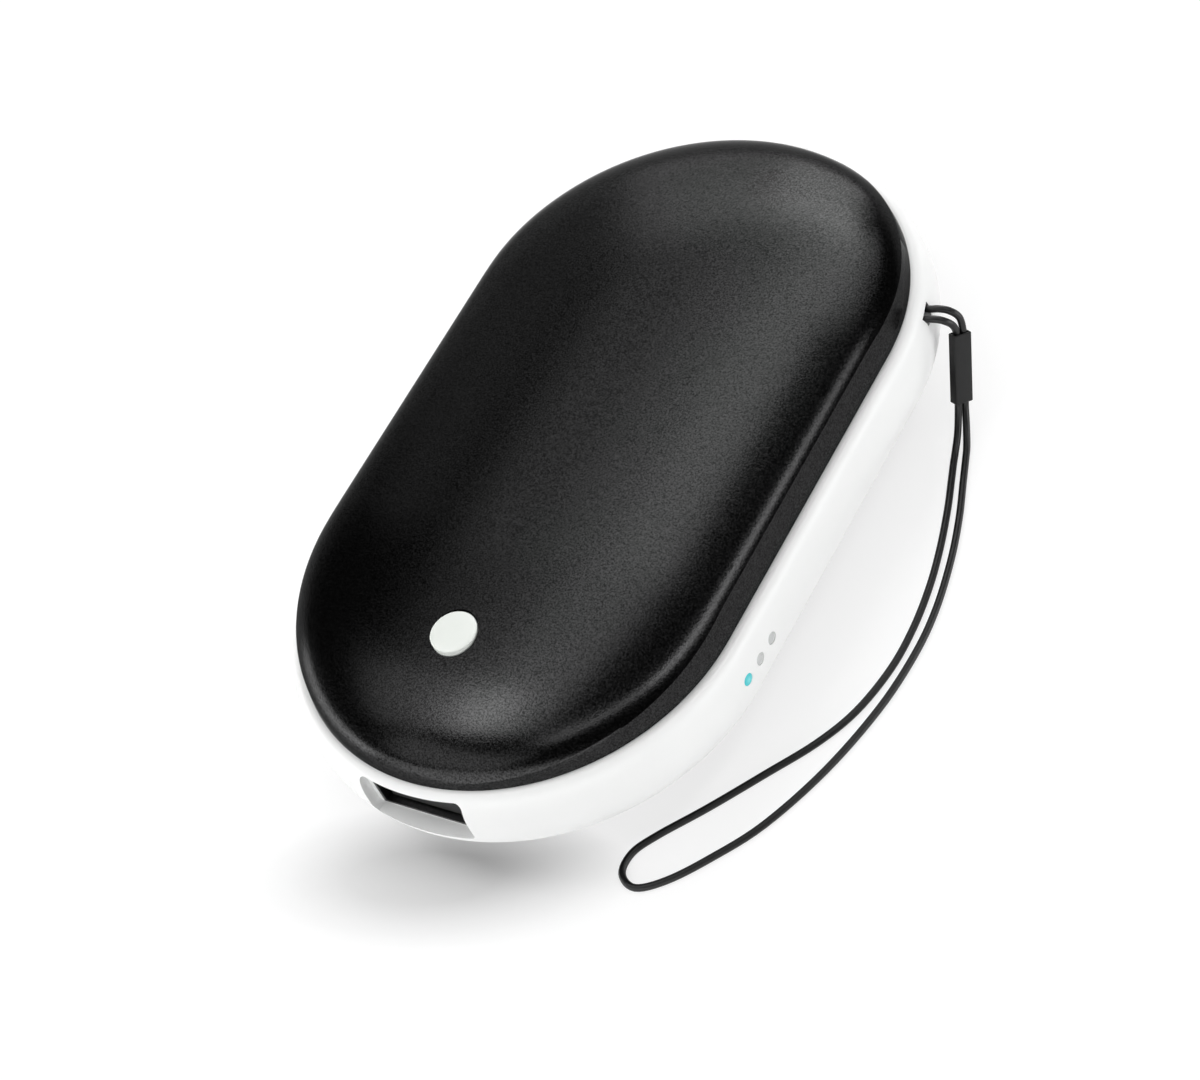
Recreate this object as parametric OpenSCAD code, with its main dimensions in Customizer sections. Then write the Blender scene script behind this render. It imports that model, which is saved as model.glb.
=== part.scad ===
// Rechargeable pocket hand warmer: two domed aluminium covers on a white frame,
// with two cells, two heating films, a circuit board and a wrist strap.
// Z is up, the long axis is Y, and the USB end is at -Y.
// The origin is under the middle of the body, on the surface that it lies on.

/* [Frame] */
// Room between the cells and the frame's inner wall on each long side
side_room = 6.65; // [6.5:0.05:8]
// Room in front of the cells for the board and the sockets
front_room = 18.8; // [18.5:0.1:22]
// Height of the frame between the two covers
frame_h = 9.2; // [9:0.1:10.5]
// How far the frame swells out past the covers
frame_bulge = 2.1; // [1.6:0.1:2.6]
// Width of the ledge that each cover stands on
ledge_w = 2.7; // [2.4:0.1:3]
// Height of the lip that locates each cover
lip_h = 1.6; // [1:0.1:2]
// Gap between moulded or pressed parts that fit together
fit_gap = 0.15; // [0.1:0.01:0.2]

/* [Covers] */
// Room between the cells and the outside of the dome's top
cover_room = 3.8; // [3.6:0.1:5]
// Thickness of the aluminium
cover_wall = 1.2; // [0.9:0.1:1.3]
// Lean of the upper cover's flat side walls, in degrees
side_lean = 8; // [5:0.5:10]
// Lean of the lower cover's side walls, which draw in under the frame, in degrees
bottom_lean = 42; // [38:1:44]
// How far the side walls cut into the dome's own outline
side_cut = 3.2; // [2.4:0.1:3.8]
// Half of the width of the flat along the middle of the dome
flat_top = 1.4; // [1:0.1:3]
// Depth that is ground off the lower dome as a flat to rest on
rest_cut = 0.3; // [0.2:0.05:0.4]

/* [Button] */
// Diameter of the button
button_d = 5.7; // [5:0.1:6.5]
// Distance from the board's rear edge to the switch under the button
button_set_back = 0.9; // [0.5:0.1:1.2]
// Gap round the button in its hole
button_gap = 0.15; // [0.1:0.01:0.25]
// How far the button stands proud of the cover
button_proud = 0.5; // [0.4:0.05:0.8]
// Height of the button's domed face
button_crown = 0.35; // [0.2:0.05:0.5]
// Diameter of the flange that keeps the button in
flange_d = 7.6; // [7.2:0.1:8]
// Thickness of that flange
flange_h = 0.8; // [0.6:0.1:1]
// Diameter of the stem under the button
stem_d = 2.6; // [2:0.1:3]
// Length of the stem under the flange
stem_l = 0.6; // [0.45:0.05:0.8]
// Free travel of the button and the switch
press_travel = 0.3; // [0.2:0.05:0.35]
// Gap between faces that meet when pressed
touch_gap = 0.05; // [0.03:0.01:0.08]

/* [Cells] */
// Diameter of a wrapped cell
cell_d = 18.4; // [18:0.1:18.5]
// Length of a cell
cell_l = 65; // [64:0.1:65.5]
// Gap between the two cells
cell_gap = 0.3; // [0.2:0.05:0.5]
// Gap between the cells' rear corners and the frame
cell_clear = 0.45; // [0.3:0.05:0.6]
// Diameter of a cell's raised terminal
terminal_d = 6; // [5:0.5:8]
// How far the terminals stand out of the cans
terminal_h = 0.6; // [0.4:0.1:0.8]
// Thickness of the paper ring at the cells' front ends
paper_t = 0.3; // [0.2:0.05:0.4]
// Thickness of the nickel strips
nickel_t = 0.2; // [0.15:0.05:0.3]
// Width of the nickel strips
nickel_w = 7; // [5:0.5:8]

/* [Circuit board] */
// Thickness of the board
board_t = 1.2; // [1:0.1:1.6]
// Distance from the board's long sides to the frame's inner wall at its widest
board_side_room = 3.2; // [2.8:0.1:4]
// Gap between the board and the frame
board_gap = 0.3; // [0.2:0.05:0.5]
// Side of the press switch's square body
switch_w = 6; // [5:0.5:6.5]
// Diameter of the switch's plunger
plunger_d = 3.4; // [3:0.1:3.6]
// How far the plunger stands above the switch
plunger_proud = 0.6; // [0.5:0.1:0.8]
// Running gap round the plunger
plunger_gap = 0.06; // [0.03:0.01:0.08]

/* [USB socket] */
// Width of the USB socket's metal shell
usb_w = 13.1; // [13:0.05:13.3]
// Height of the shell
usb_h = 5.7; // [5.6:0.05:5.8]
// Depth of the shell
usb_l = 13; // [12.5:0.1:13.5]
// Thickness of the shell's sheet
usb_sheet = 0.3; // [0.2:0.05:0.4]
// Height of the socket's centre above the frame's middle
usb_rise = 0.6; // [0.4:0.05:0.8]
// How far the socket's mouth lies behind the frame's nose
usb_recess = 2.3; // [2:0.1:2.6]
// Margin of the frame's recess beside the shell
recess_margin = 0.35; // [0.2:0.05:0.5]
// Margin of the frame's recess above and below the shell
recess_rise = 0.1; // [0.05:0.05:0.15]
// Corner radius of that recess
recess_corner = 0.9; // [0.5:0.1:1.2]
// Thickness of the tongue in the socket
tongue_t = 1.9; // [1.7:0.1:2]
// Gap under the tongue
tongue_rest = 0.35; // [0.2:0.05:0.5]
// Distance from the socket's mouth to the tongue's front
tongue_depth = 0.8; // [0.6:0.05:1.2]
// How much narrower the tongue is than the inside of the shell
tongue_inset = 1.4; // [1.2:0.1:1.6]
// Width of one contact
contact_w = 1; // [0.8:0.1:1.2]

/* [Charging socket] */
// Width of the charging socket's shell
charge_w = 7.6; // [7.4:0.1:7.8]
// Height of the shell
charge_h = 2.6; // [2.4:0.1:2.8]
// Depth of the shell
charge_l = 5.6; // [5.2:0.1:5.8]
// Turn of the socket round the near end, from the body's left side, in degrees
charge_turn = 30; // [28:1:32]
// How far the socket's mouth lies behind the frame's outside
charge_recess = 1; // [0.9:0.1:1.3]
// Length of the plastic base behind the shell, which stands up to the board
charge_base = 1.5; // [1.2:0.1:1.8]

/* [Lamps] */
// Diameter of the lamp holes
lamp_d = 1.4; // [1.2:0.1:1.6]
// Distance between lamps
lamp_pitch = 2.95; // [2.8:0.05:3.2]
// Distance from the frame's near end to the lit lamp
lamp_from_end = 28.2; // [27.5:0.1:29]
// Height of the lamps above the frame's middle
lamp_rise = 0.3; // [0.2:0.05:0.5]
// Depth of the light pins' faces below the frame's surface
lamp_sink = 0.4; // [0.2:0.05:0.6]
// Thickness of the lamp board
lamp_board_t = 0.8; // [0.6:0.1:1]

/* [Heaters] */
// Distance from a heating film's long sides to the outer sides of the cells
film_side_margin = 1.55; // [1:0.05:3]
// Distance from a heating film's ends to the ends of the cells
film_end_margin = 8.5; // [7.5:0.5:11]
// Thickness of a heating film
film_t = 0.25; // [0.2:0.05:0.3]
// Corner radius of the films and the foam
film_corner = 3; // [2:0.5:4]
// How far a foam pad's edges lie inside the edges of its film
foam_margin = 2; // [2:0.1:3]

/* [Battery tray] */
// Thickness of the tray's plate
tray_t = 1.8; // [1.5:0.1:2]
// Thickness of each saddle under the cells
saddle_t = 2; // [1.5:0.1:2.5]
// Diameter of the screw posts
post_d = 4.4; // [4:0.1:4.6]
// Diameter of the screws' threads
screw_d = 1.6; // [1.4:0.1:1.8]
// Diameter of the screws' heads
head_d = 3; // [2.6:0.1:3.2]
// Height of the screws' heads
head_h = 1; // [0.8:0.1:1.2]
// Length of the screws under their heads
screw_l = 4.5; // [4:0.1:5]

/* [Wires and strap] */
// Diameter of the wires inside
wire_d = 1.1; // [0.8:0.1:1.2]
// Diameter of the strap's cord
cord_d = 0.9; // [0.8:0.05:1]
// Width of the strap's sleeve
sleeve_w = 2.5; // [2.4:0.1:2.8]
// Thickness of the strap's sleeve
sleeve_t = 1.4; // [1.3:0.1:1.8]
// Diameter of the moulded post that holds the strap
strap_post_d = 2.2; // [2:0.1:2.3]
// Distance from the frame's outside in to the middle of that post
strap_post_depth = 3.1; // [3:0.1:3.2]
// Height of the slot for the strap
strap_slot_h = 1.5; // [1.3:0.1:1.6]

/* [Hidden] */
$fn = 96;

// Overrun of every cut past the face that it opens
cut = 1;
// Steps along a dome's curve and along the frame's curve
curve_steps = 14;
// Fullness of the frame's rounded section: 2 is an ellipse
frame_fullness = 2.4;

cell_x = (cell_d + cell_gap) / 2;
cell_side = cell_x + cell_d / 2;
inner_r = cell_side + side_room;
// Half of the covers' width, which is also their end radius
cover_r = inner_r + ledge_w;
half_w = cover_r + frame_bulge;
// Distance from the inner wall at the far end to the cells, whose corners touch its curve first
rear_room = inner_r - sqrt(pow(inner_r, 2) - pow(cell_side, 2)) + cell_clear;
// Half of the straight part of the long sides
straight = (front_room + cell_l + rear_room) / 2 - inner_r;
half_l = straight + half_w;
cell_rear = straight + inner_r - rear_room;
cell_front = cell_rear - cell_l;

// The dome's own outline lies outside the side walls and level with the ends
dome_r = cover_r + side_cut;
dome_straight = straight + cover_r - dome_r;
dome_run = dome_r - flat_top;
dome_h = cell_d / 2 + cover_room - frame_h / 2;
mid_z = frame_h / 2 + dome_h - rest_cut;
top_rim_z = mid_z + frame_h / 2;
total_h = mid_z + frame_h / 2 + dome_h;

usb_z = mid_z + usb_rise;
usb_front = -half_l + usb_recess;
board_z = usb_z + usb_h / 2 + touch_gap;
board_top = board_z + board_t;
board_rear = cell_front - nickel_t - wire_d - 2 * fit_gap;
board_r = inner_r - board_gap;
board_side = inner_r - board_side_room;

button_y = board_rear - button_set_back - switch_w / 2;
button_hole_r = button_d / 2 + button_gap;
// Height of the dome over the button's centre
button_u = (dome_r - (-button_y - dome_straight)) / dome_run;
button_face_z = top_rim_z + dome_h * sqrt(1 - pow(1 - button_u, 2)) + button_proud;
// The cover's inner face is lowest on the side of the button towards the near end
flange_reach = -button_y - dome_straight + flange_d / 2;
flange_u = (flange_reach - flat_top) / (dome_run - cover_wall);
flange_top = top_rim_z + (dome_h - cover_wall) * sqrt(1 - pow(flange_u, 2)) - fit_gap;
// The switch fills the height between the board and the button's stem
plunger_top = flange_top - flange_h - stem_l - touch_gap;
switch_top = plunger_top - plunger_proud;
switch_h = switch_top - board_top;

charge_tongue_t = charge_h / 4;
charge_tongue_root = charge_l - 3 * usb_sheet;

tongue_w = usb_w - 2 * usb_sheet - tongue_inset;
tongue_top = -usb_h / 2 + usb_sheet + tongue_rest + tongue_t;
contact_t = tongue_t / 8;
contact_pitch_share = [-0.31, -0.09, 0.09, 0.31];

// Middle of the board from front to rear
board_mid_y = (board_rear - straight - board_r) / 2;
chip_w = board_side / 4;
chip_h = board_t;
inductor_w = board_side * 3 / 11;
inductor_y = board_rear - inductor_w / 2 - 2.5 * wire_d;
capacitor_r = board_side / 12;
capacitor_side_share = [0.25, 0.43];
capacitor_y = inductor_y - inductor_w / 2 - capacitor_r - 2 * fit_gap;
nickel_reach = cell_x + terminal_d / 2;

// The tray's plate passes under the light pins
tray_top = mid_z + lamp_rise - lamp_d / 2 - fit_gap;
tray_bottom = tray_top - tray_t;
tray_front = board_rear - saddle_t;
// The charging socket lies on the tray's plate
charge_z = tray_top + touch_gap + charge_h / 2;
prop_x = board_side * 3 / 4;
saddle_front_y = cell_front + cell_l / 8;
saddle_step = cell_l * 3 / 8;

// Turn of the board's screws round the near end, past the charging socket
board_screw_turn = 56;
board_screw_x = (board_r - head_d / 2) * cos(board_screw_turn);
board_screw_y = -straight - (board_r - head_d / 2) * sin(board_screw_turn);

lamp_x = inner_r - 2 * fit_gap - 1.5 * lamp_board_t;
lamp_z = mid_z + lamp_rise;
lamp_y = -half_l + lamp_from_end;
led_w = lamp_d + 2 * fit_gap;
led_h = lamp_board_t;
led_t = lamp_board_t * 3 / 4;
lamp_board_l = 3 * lamp_pitch + led_w;
lamp_board_h = 4 * led_h;

screw_x = inner_r - head_d / 2 - 2 * fit_gap;
// The front screws stand just behind the lamp board
screw_front_y = lamp_y + lamp_pitch + lamp_board_l / 2 + head_d / 2 + 2 * fit_gap;
screw_rear_y = straight / 2;

film_gap = touch_gap;
foam_gap = 2 * touch_gap + film_t;
heater_y = (cell_front + cell_rear) / 2;
film_side = cell_side - film_side_margin;
film_l = cell_l - 2 * film_end_margin;
foam_side = film_side - foam_margin;
foam_l = film_l - 2 * foam_margin;
film_front = heater_y - film_l / 2;
foam_front = heater_y - foam_l / 2;
thermistor_d = 1.6 * wire_d;
thermistor_x = -foam_side / 3;
thermistor_z = top_rim_z + dome_z(thermistor_x, cover_wall + foam_gap) - thermistor_d / 2 - touch_gap;

// Height of the leads in the groove between the cells, and the line where they come down on the board
lead_z = mid_z + cell_d * 3 / 8;
lead_front = board_rear - 1.5 * wire_d;
black_lead_x = switch_w / 2 + 0.8 * wire_d;
red_lead_x = black_lead_x + 1.5 * wire_d;
heater_lead_x = cell_x * 13 / 10;

// Place of the strap's slot: its turn round the far corner and its height above the middle
strap_turn = 17;
strap_rise = 2.5;
strap_z = mid_z + strap_rise;
strap_post_at = half_w - strap_post_depth;
strap_slot_side_share = [0.86, 0.72, 0.45];
strap_loop_r = (strap_post_d + cord_d) / 2;

// The strap's cord: from inside the sleeve, round the moulded post and back into the sleeve
tie_points = [
    [31.4, 27.8, 8.1], [31.4, 28.9, 10.2], [31.4, 29.9, 12.2], [31.3, 29.9, 13.7], [30.6, 29.5, 14.8],
    [29.6, 29.2, 15.2], [28.6, 28.9, 15.2], [27.2, 28.0, 15.2], [26.2, 27.2, 15.2], [24.9, 27.3, 15.2],
    [24.0, 28.3, 15.2], [24.2, 29.7, 15.2], [25.2, 30.6, 15.2], [26.7, 30.6, 15.2], [28.2, 30.5, 15.2],
    [29.4, 30.8, 15.2], [30.6, 31.1, 14.8], [31.5, 31.3, 13.6], [31.8, 30.7, 11.8], [31.8, 29.8, 10.0],
    [31.8, 28.8, 8.1]];
// The wrist loop: from inside the sleeve, along the surface and back into the sleeve
loop_points = [
    [31.4, 27.7, 7.9], [31.4, 26.1, 5.1], [31.4, 25.2, 3.4], [31.7, 23.2, 1.4], [32.3, 20.5, 0.45],
    [33.4, 17.3, 0.45], [34.9, 13.0, 0.45], [36.5, 7.5, 0.45], [37.7, 2.0, 0.45], [38.4, -4.0, 0.45],
    [38.3, -10.0, 0.45], [36.9, -16.5, 0.45], [34.3, -21.8, 0.45], [30.4, -27.2, 0.45],
    [25.8, -33.4, 0.45], [21.6, -38.6, 0.45], [19.8, -41.6, 0.45], [20.0, -44.4, 0.45],
    [22.4, -45.6, 0.45], [25.6, -43.6, 0.45], [29.2, -39.5, 0.45], [33.3, -33.6, 0.45],
    [37.0, -24.9, 0.45], [39.4, -15.5, 0.45], [40.2, -7.5, 0.45], [39.9, -1.0, 0.45],
    [38.6, 6.0, 0.45], [36.9, 12.0, 0.45], [34.9, 17.5, 0.45], [33.4, 21.6, 0.45],
    [32.4, 24.2, 1.3], [31.8, 26.2, 3.1], [31.8, 27.1, 4.7], [31.8, 28.7, 7.9]];
// Middle of the sleeve's lower and upper ends
sleeve_foot = [31.6, 26.1, 4];
sleeve_head = [31.6, 30.3, 12];
sleeve_turn = 65;

black_metal = [0.06, 0.06, 0.065];
white_plastic = [0.94, 0.95, 0.94];
steel = [0.72, 0.73, 0.75];
gold = [0.85, 0.68, 0.35];
board_green = [0.05, 0.32, 0.2];
black_plastic = [0.08, 0.08, 0.085];
foam_grey = [0.3, 0.3, 0.32];

// Half width of the body's outline at a place along Y
function outline_x(y) =
    sqrt(pow(half_w, 2) - pow(max(0, abs(y) - straight), 2));

// Height of the dome over the rim at a distance from the long axis, that far inside its skin
function dome_z(x, inset) =
    (dome_h - inset) * sqrt(1 - pow(max(0, abs(x) - flat_top) / (dome_run - inset), 2));

// Outline of the dome in section, from its outer edge to the axis
function dome_section(inset, below) = concat(
    [[0, -below], [dome_r - inset, -below]],
    [for (i = [0:curve_steps])
        let (a = 90 * i / curve_steps)
        [flat_top + (dome_run - inset) * cos(a), (dome_h - inset) * sin(a)]],
    [[0, dome_h - inset]]);

function signed_power(v, p) = sign(v) * pow(abs(v), p);

// Rounded outer line of the frame's section, from its lower to its upper edge
function frame_curve() = [for (i = [0:curve_steps])
    let (a = -90 + 180 * i / curve_steps)
    [cover_r + frame_bulge * pow(abs(cos(a)), 2 / frame_fullness),
        frame_h / 2 * signed_power(sin(a), 2 / frame_fullness)]];

// Sweeps a section, drawn to the right of the axis, round the body's outline
module round_body(half_straight) {
    for (turn = [0, 180])
        rotate([0, 0, turn])
            translate([0, half_straight, 0]) {
                rotate_extrude(angle = 180)
                    children();
                for (side = [0, 1])
                    mirror([side, 0, 0])
                        rotate([90, 0, 0])
                            linear_extrude(half_straight)
                                children();
            }
}

module body_outline(r, half_straight) {
    square([2 * r, 2 * half_straight], center = true);
    for (side = [-1, 1])
        translate([0, side * half_straight])
            circle(r);
}

module rounded_rectangle(w, h, corner) {
    square([w - 2 * corner, h], center = true);
    square([w, h - 2 * corner], center = true);
    for (x = [-1, 1], y = [-1, 1])
        translate([x * (w / 2 - corner), y * (h / 2 - corner)])
            circle(corner);
}

module block(low, high) {
    translate(low)
        cube(high - low);
}

// One side of a cover: the dome, cut by side walls with that lean
module cover_solid(inset, below, lean) {
    intersection() {
        round_body(dome_straight)
            polygon(dome_section(inset, below));
        round_body(straight)
            polygon([
                [0, -below],
                [cover_r - inset + below * tan(lean), -below],
                [cover_r - inset - (dome_h + cut) * tan(lean), dome_h + cut],
                [0, dome_h + cut]]);
    }
}

module cover_shell(lean) {
    difference() {
        intersection() {
            cover_solid(0, cut, lean);
            block([-half_w, -half_l, 0], [half_w, half_l, dome_h + cut]);
        }
        cover_solid(cover_wall, 2 * cut, lean);
    }
}

module above_frame() {
    translate([0, 0, top_rim_z])
        children();
}

module below_frame() {
    translate([0, 0, mid_z - frame_h / 2])
        mirror([0, 0, 1])
            children();
}

module top_cover() {
    color(black_metal)
        difference() {
            above_frame()
                cover_shell(side_lean);
            translate([0, button_y, top_rim_z])
                cylinder(h = dome_h + cut, r = button_hole_r);
        }
}

module bottom_cover() {
    color(black_metal)
        intersection() {
            below_frame()
                cover_shell(bottom_lean);
            block([-half_w, -half_l, 0], [half_w, half_l, mid_z]);
        }
}

// Places what follows at the strap's slot, with X pointing out of it
module at_strap_slot() {
    translate([0, straight, strap_z])
        rotate([0, 0, strap_turn])
            children();
}

module strap_pocket() {
    wide = strap_loop_r + cord_d;
    linear_extrude(strap_slot_h, center = true)
        polygon([
            [inner_r - cut, -wide],
            [strap_post_at + cord_d / 2, -wide],
            [cover_r, -wide * strap_slot_side_share[0]],
            [half_w - cord_d, -wide * strap_slot_side_share[1]],
            [half_w, -wide * strap_slot_side_share[2]],
            [half_w + cut, -wide * strap_slot_side_share[2]],
            [half_w + cut, wide * strap_slot_side_share[2]],
            [half_w, wide * strap_slot_side_share[2]],
            [half_w - cord_d, wide * strap_slot_side_share[1]],
            [cover_r, wide * strap_slot_side_share[0]],
            [strap_post_at + cord_d / 2, wide],
            [inner_r - cut, wide]]);
}

module at_tray_screws() {
    for (x = [-1, 1], y = [screw_front_y, screw_rear_y])
        translate([x * screw_x, y, 0])
            children();
}

module at_board_screws() {
    for (x = [-1, 1])
        translate([x * board_screw_x, board_screw_y, 0])
            children();
}

// Places what follows at the middle of the charging socket's mouth, with X pointing into it
module at_charge_socket() {
    translate([0, -straight, charge_z])
        rotate([0, 0, charge_turn])
            translate([charge_recess - half_w, 0, 0])
                children();
}

module at_lamps(first, last) {
    for (i = [first:last])
        translate([0, lamp_y + i * lamp_pitch, lamp_z])
            rotate([0, 90, 0])
                children();
}

// Lip that stands inside a cover and follows its inner face
module frame_lip(lean) {
    difference() {
        intersection() {
            cover_solid(cover_wall + fit_gap, cut, lean);
            block([-half_w, -half_l, -cut], [half_w, half_l, lip_h]);
        }
        translate([0, 0, -2 * cut])
            linear_extrude(lip_h + 3 * cut)
                body_outline(inner_r, straight);
    }
}

module frame_ring() {
    translate([0, 0, mid_z])
        round_body(straight)
            polygon(concat(
                frame_curve(),
                [[inner_r, frame_h / 2],
                    [inner_r, -frame_h / 2]]));
    above_frame()
        frame_lip(side_lean);
    below_frame()
        frame_lip(bottom_lean);
}

// Screw posts moulded on the frame's inner wall, trimmed by the frame's own outline
module frame_posts() {
    intersection() {
        union() {
            at_tray_screws()
                translate([0, 0, mid_z - frame_h / 2])
                    cylinder(h = tray_bottom - mid_z + frame_h / 2, r = post_d / 2);
            at_board_screws()
                translate([0, 0, mid_z - frame_h / 2])
                    cylinder(h = board_z - mid_z + frame_h / 2, r = post_d / 2);
        }
        translate([0, 0, mid_z - frame_h])
            linear_extrude(2 * frame_h)
                body_outline(inner_r + ledge_w / 2, straight);
    }
}

module mid_frame() {
    pilot_r = screw_d / 2 - touch_gap;
    color(white_plastic) {
        difference() {
            union() {
                frame_ring();
                frame_posts();
            }
            // Recess and through hole of the USB socket
            translate([0, usb_front, usb_z])
                rotate([90, 0, 0])
                    linear_extrude(usb_recess + cut)
                        rounded_rectangle(usb_w + 2 * recess_margin, usb_h + 2 * recess_rise, recess_corner);
            block(
                [-usb_w / 2 - touch_gap, usb_front - touch_gap, usb_z - usb_h / 2 - touch_gap],
                [usb_w / 2 + touch_gap, usb_front + usb_l + cut, usb_z + usb_h / 2 + touch_gap]);
            // Hole of the charging socket
            at_charge_socket()
                translate([charge_l + cut, 0, 0])
                    rotate([0, -90, 0])
                        linear_extrude(charge_l + charge_recess + 2 * cut)
                            rounded_rectangle(charge_h + 2 * touch_gap, charge_w + 2 * touch_gap, touch_gap);
            at_lamps(0, 2)
                cylinder(h = half_w + cut, r = lamp_d / 2);
            at_strap_slot()
                strap_pocket();
            at_tray_screws()
                translate([0, 0, tray_bottom - screw_l])
                    cylinder(h = screw_l + cut, r = pilot_r);
            at_board_screws()
                translate([0, 0, board_z - screw_l])
                    cylinder(h = screw_l + cut, r = pilot_r);
        }
        at_strap_slot()
            translate([strap_post_at, 0, 0])
                cylinder(h = strap_slot_h + 2 * touch_gap, r = strap_post_d / 2, center = true);
    }
}

module power_button() {
    r = button_d / 2;
    color(white_plastic)
        translate([0, button_y, 0])
            rotate_extrude()
                polygon(concat(
                    [[0, plunger_top + touch_gap],
                        [stem_d / 2, plunger_top + touch_gap],
                        [stem_d / 2, flange_top - flange_h],
                        [flange_d / 2, flange_top - flange_h],
                        [flange_d / 2, flange_top],
                        [r, flange_top]],
                    [for (i = [0:curve_steps])
                        let (a = 90 * i / curve_steps)
                        [r * pow(cos(a), 0.5), button_face_z - button_crown * (1 - sin(a))]],
                    [[0, button_face_z]]));
}

module switch_body() {
    color(black_plastic)
        translate([0, button_y, 0])
            difference() {
                block([-switch_w / 2, -switch_w / 2, board_top], [switch_w / 2, switch_w / 2, switch_top]);
                translate([0, 0, board_top + switch_h / 4])
                    cylinder(h = switch_h, r = plunger_d / 2 + plunger_gap);
            }
}

// Snap disc under the plunger
module switch_dome() {
    floor_z = board_top + switch_h / 4;
    rise = press_travel + touch_gap;
    disc_r = plunger_d / 2 - plunger_gap;
    color(steel)
        translate([0, button_y, floor_z])
            rotate_extrude()
                polygon([
                    [0, rise],
                    [disc_r / 3, rise - touch_gap],
                    [disc_r, touch_gap],
                    [disc_r, 0],
                    [disc_r - touch_gap, 0],
                    [disc_r / 3, rise - 2 * touch_gap],
                    [0, rise - touch_gap]]);
}

module switch_plunger() {
    low = board_top + switch_h / 4 + press_travel + 2 * touch_gap;
    color(black_plastic)
        translate([0, button_y, low])
            cylinder(h = plunger_top - low, r = plunger_d / 2);
}

module circuit_board() {
    color(board_green)
        difference() {
            intersection() {
                translate([0, 0, board_z])
                    linear_extrude(board_t)
                        body_outline(board_r, straight);
                block([-board_side, -half_l, 0], [board_side, board_rear, total_h]);
            }
            at_board_screws()
                translate([0, 0, board_z - cut])
                    cylinder(h = board_t + 2 * cut, r = screw_d / 2 + touch_gap);
        }
}

// Pan-head screw standing on the face at z = 0
module screw() {
    cylinder(h = head_h, r = head_d / 2);
    translate([0, 0, -screw_l + 2 * touch_gap])
        cylinder(h = screw_l, r = screw_d / 2 - touch_gap);
}

module board_screws() {
    color(steel)
        at_board_screws()
            translate([0, 0, board_top])
                screw();
}

module tray_screws() {
    color(steel)
        at_tray_screws()
            translate([0, 0, tray_top])
                screw();
}

module usb_shell() {
    color(steel)
        translate([0, usb_front, usb_z])
            difference() {
                block([-usb_w / 2, 0, -usb_h / 2], [usb_w / 2, usb_l, usb_h / 2]);
                block(
                    [-usb_w / 2 + usb_sheet, -cut, -usb_h / 2 + usb_sheet],
                    [usb_w / 2 - usb_sheet, usb_l - usb_sheet, usb_h / 2 - usb_sheet]);
            }
}

// Insulator at the back of the socket, with the tongue that carries the contacts
module usb_tongue() {
    inner_w = usb_w / 2 - usb_sheet - touch_gap;
    inner_h = usb_h / 2 - usb_sheet - touch_gap;
    back = usb_l - usb_sheet - touch_gap;
    color(black_plastic)
        translate([0, usb_front, usb_z]) {
            block([-inner_w, back - tongue_t, -inner_h], [inner_w, back, inner_h]);
            block(
                [-tongue_w / 2, tongue_depth, tongue_top - tongue_t],
                [tongue_w / 2, back - tongue_t, tongue_top]);
        }
}

module usb_contacts() {
    back = usb_l - usb_sheet - touch_gap;
    color(gold)
        for (share = contact_pitch_share)
            translate([share * usb_w, usb_front, usb_z + tongue_top])
                block(
                    [-contact_w / 2, tongue_depth + contact_t, 0],
                    [contact_w / 2, back - tongue_t, contact_t]);
}

module charge_shell() {
    color(steel)
        at_charge_socket()
            difference() {
                block([0, -charge_w / 2, -charge_h / 2], [charge_l, charge_w / 2, charge_h / 2]);
                block(
                    [-cut, -charge_w / 2 + usb_sheet, -charge_h / 2 + usb_sheet],
                    [charge_l + cut, charge_w / 2 - usb_sheet, charge_h / 2 - usb_sheet]);
            }
}

// Insulator of the charging socket: the tongue, its root in the shell and the base under the board
module charge_tongue() {
    inner_w = charge_w / 2 - usb_sheet - touch_gap;
    inner_h = charge_h / 2 - usb_sheet - touch_gap;
    base_from = charge_l + touch_gap;
    color(black_plastic)
        at_charge_socket() {
            block([charge_tongue_root, -inner_w, -inner_h], [base_from, inner_w, inner_h]);
            block([base_from, -inner_w, -inner_h], [charge_l + charge_base, inner_w, board_z - charge_z]);
            block(
                [2 * usb_sheet, -inner_w / 2, -charge_tongue_t / 2],
                [charge_tongue_root, inner_w / 2, charge_tongue_t / 2]);
        }
}

module charge_contacts() {
    inner_w = charge_w / 2 - usb_sheet - touch_gap;
    color(gold)
        at_charge_socket()
            for (i = [-2:2])
                translate([0, i * inner_w / 6, -charge_tongue_t / 2])
                    block(
                        [3 * usb_sheet, -inner_w / 24, -contact_t / 2],
                        [charge_tongue_root, inner_w / 24, 0]);
}

// A chip in a flat black package, standing on the board
module chip(at, size) {
    translate([at[0] - size[0] / 2, at[1] - size[1] / 2, board_top])
        cube(size);
}

module controller_chip() {
    color(black_plastic)
        chip([-board_side / 2, board_mid_y + chip_w / 2, 0], [chip_w, chip_w, chip_h]);
}

module charger_chip() {
    color(black_plastic)
        chip([-board_side * 3 / 11, -straight - board_r * 17 / 20, 0], [chip_w, chip_w * 3 / 4, chip_h]);
}

module power_inductor() {
    color(foam_grey)
        chip([board_side * 6 / 11, inductor_y, 0], [inductor_w, inductor_w, inductor_w / 2]);
}

module capacitors() {
    color(steel)
        for (share = capacitor_side_share)
            translate([share * board_side, capacitor_y, board_top])
                cylinder(h = 1.4 * capacitor_r, r = capacitor_r);
}

module cell_channels(r) {
    for (x = [-1, 1])
        translate([x * cell_x, cell_front - fit_gap, mid_z])
            rotate([-90, 0, 0])
                cylinder(h = cell_l + 2 * fit_gap, r = r);
}

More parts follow.
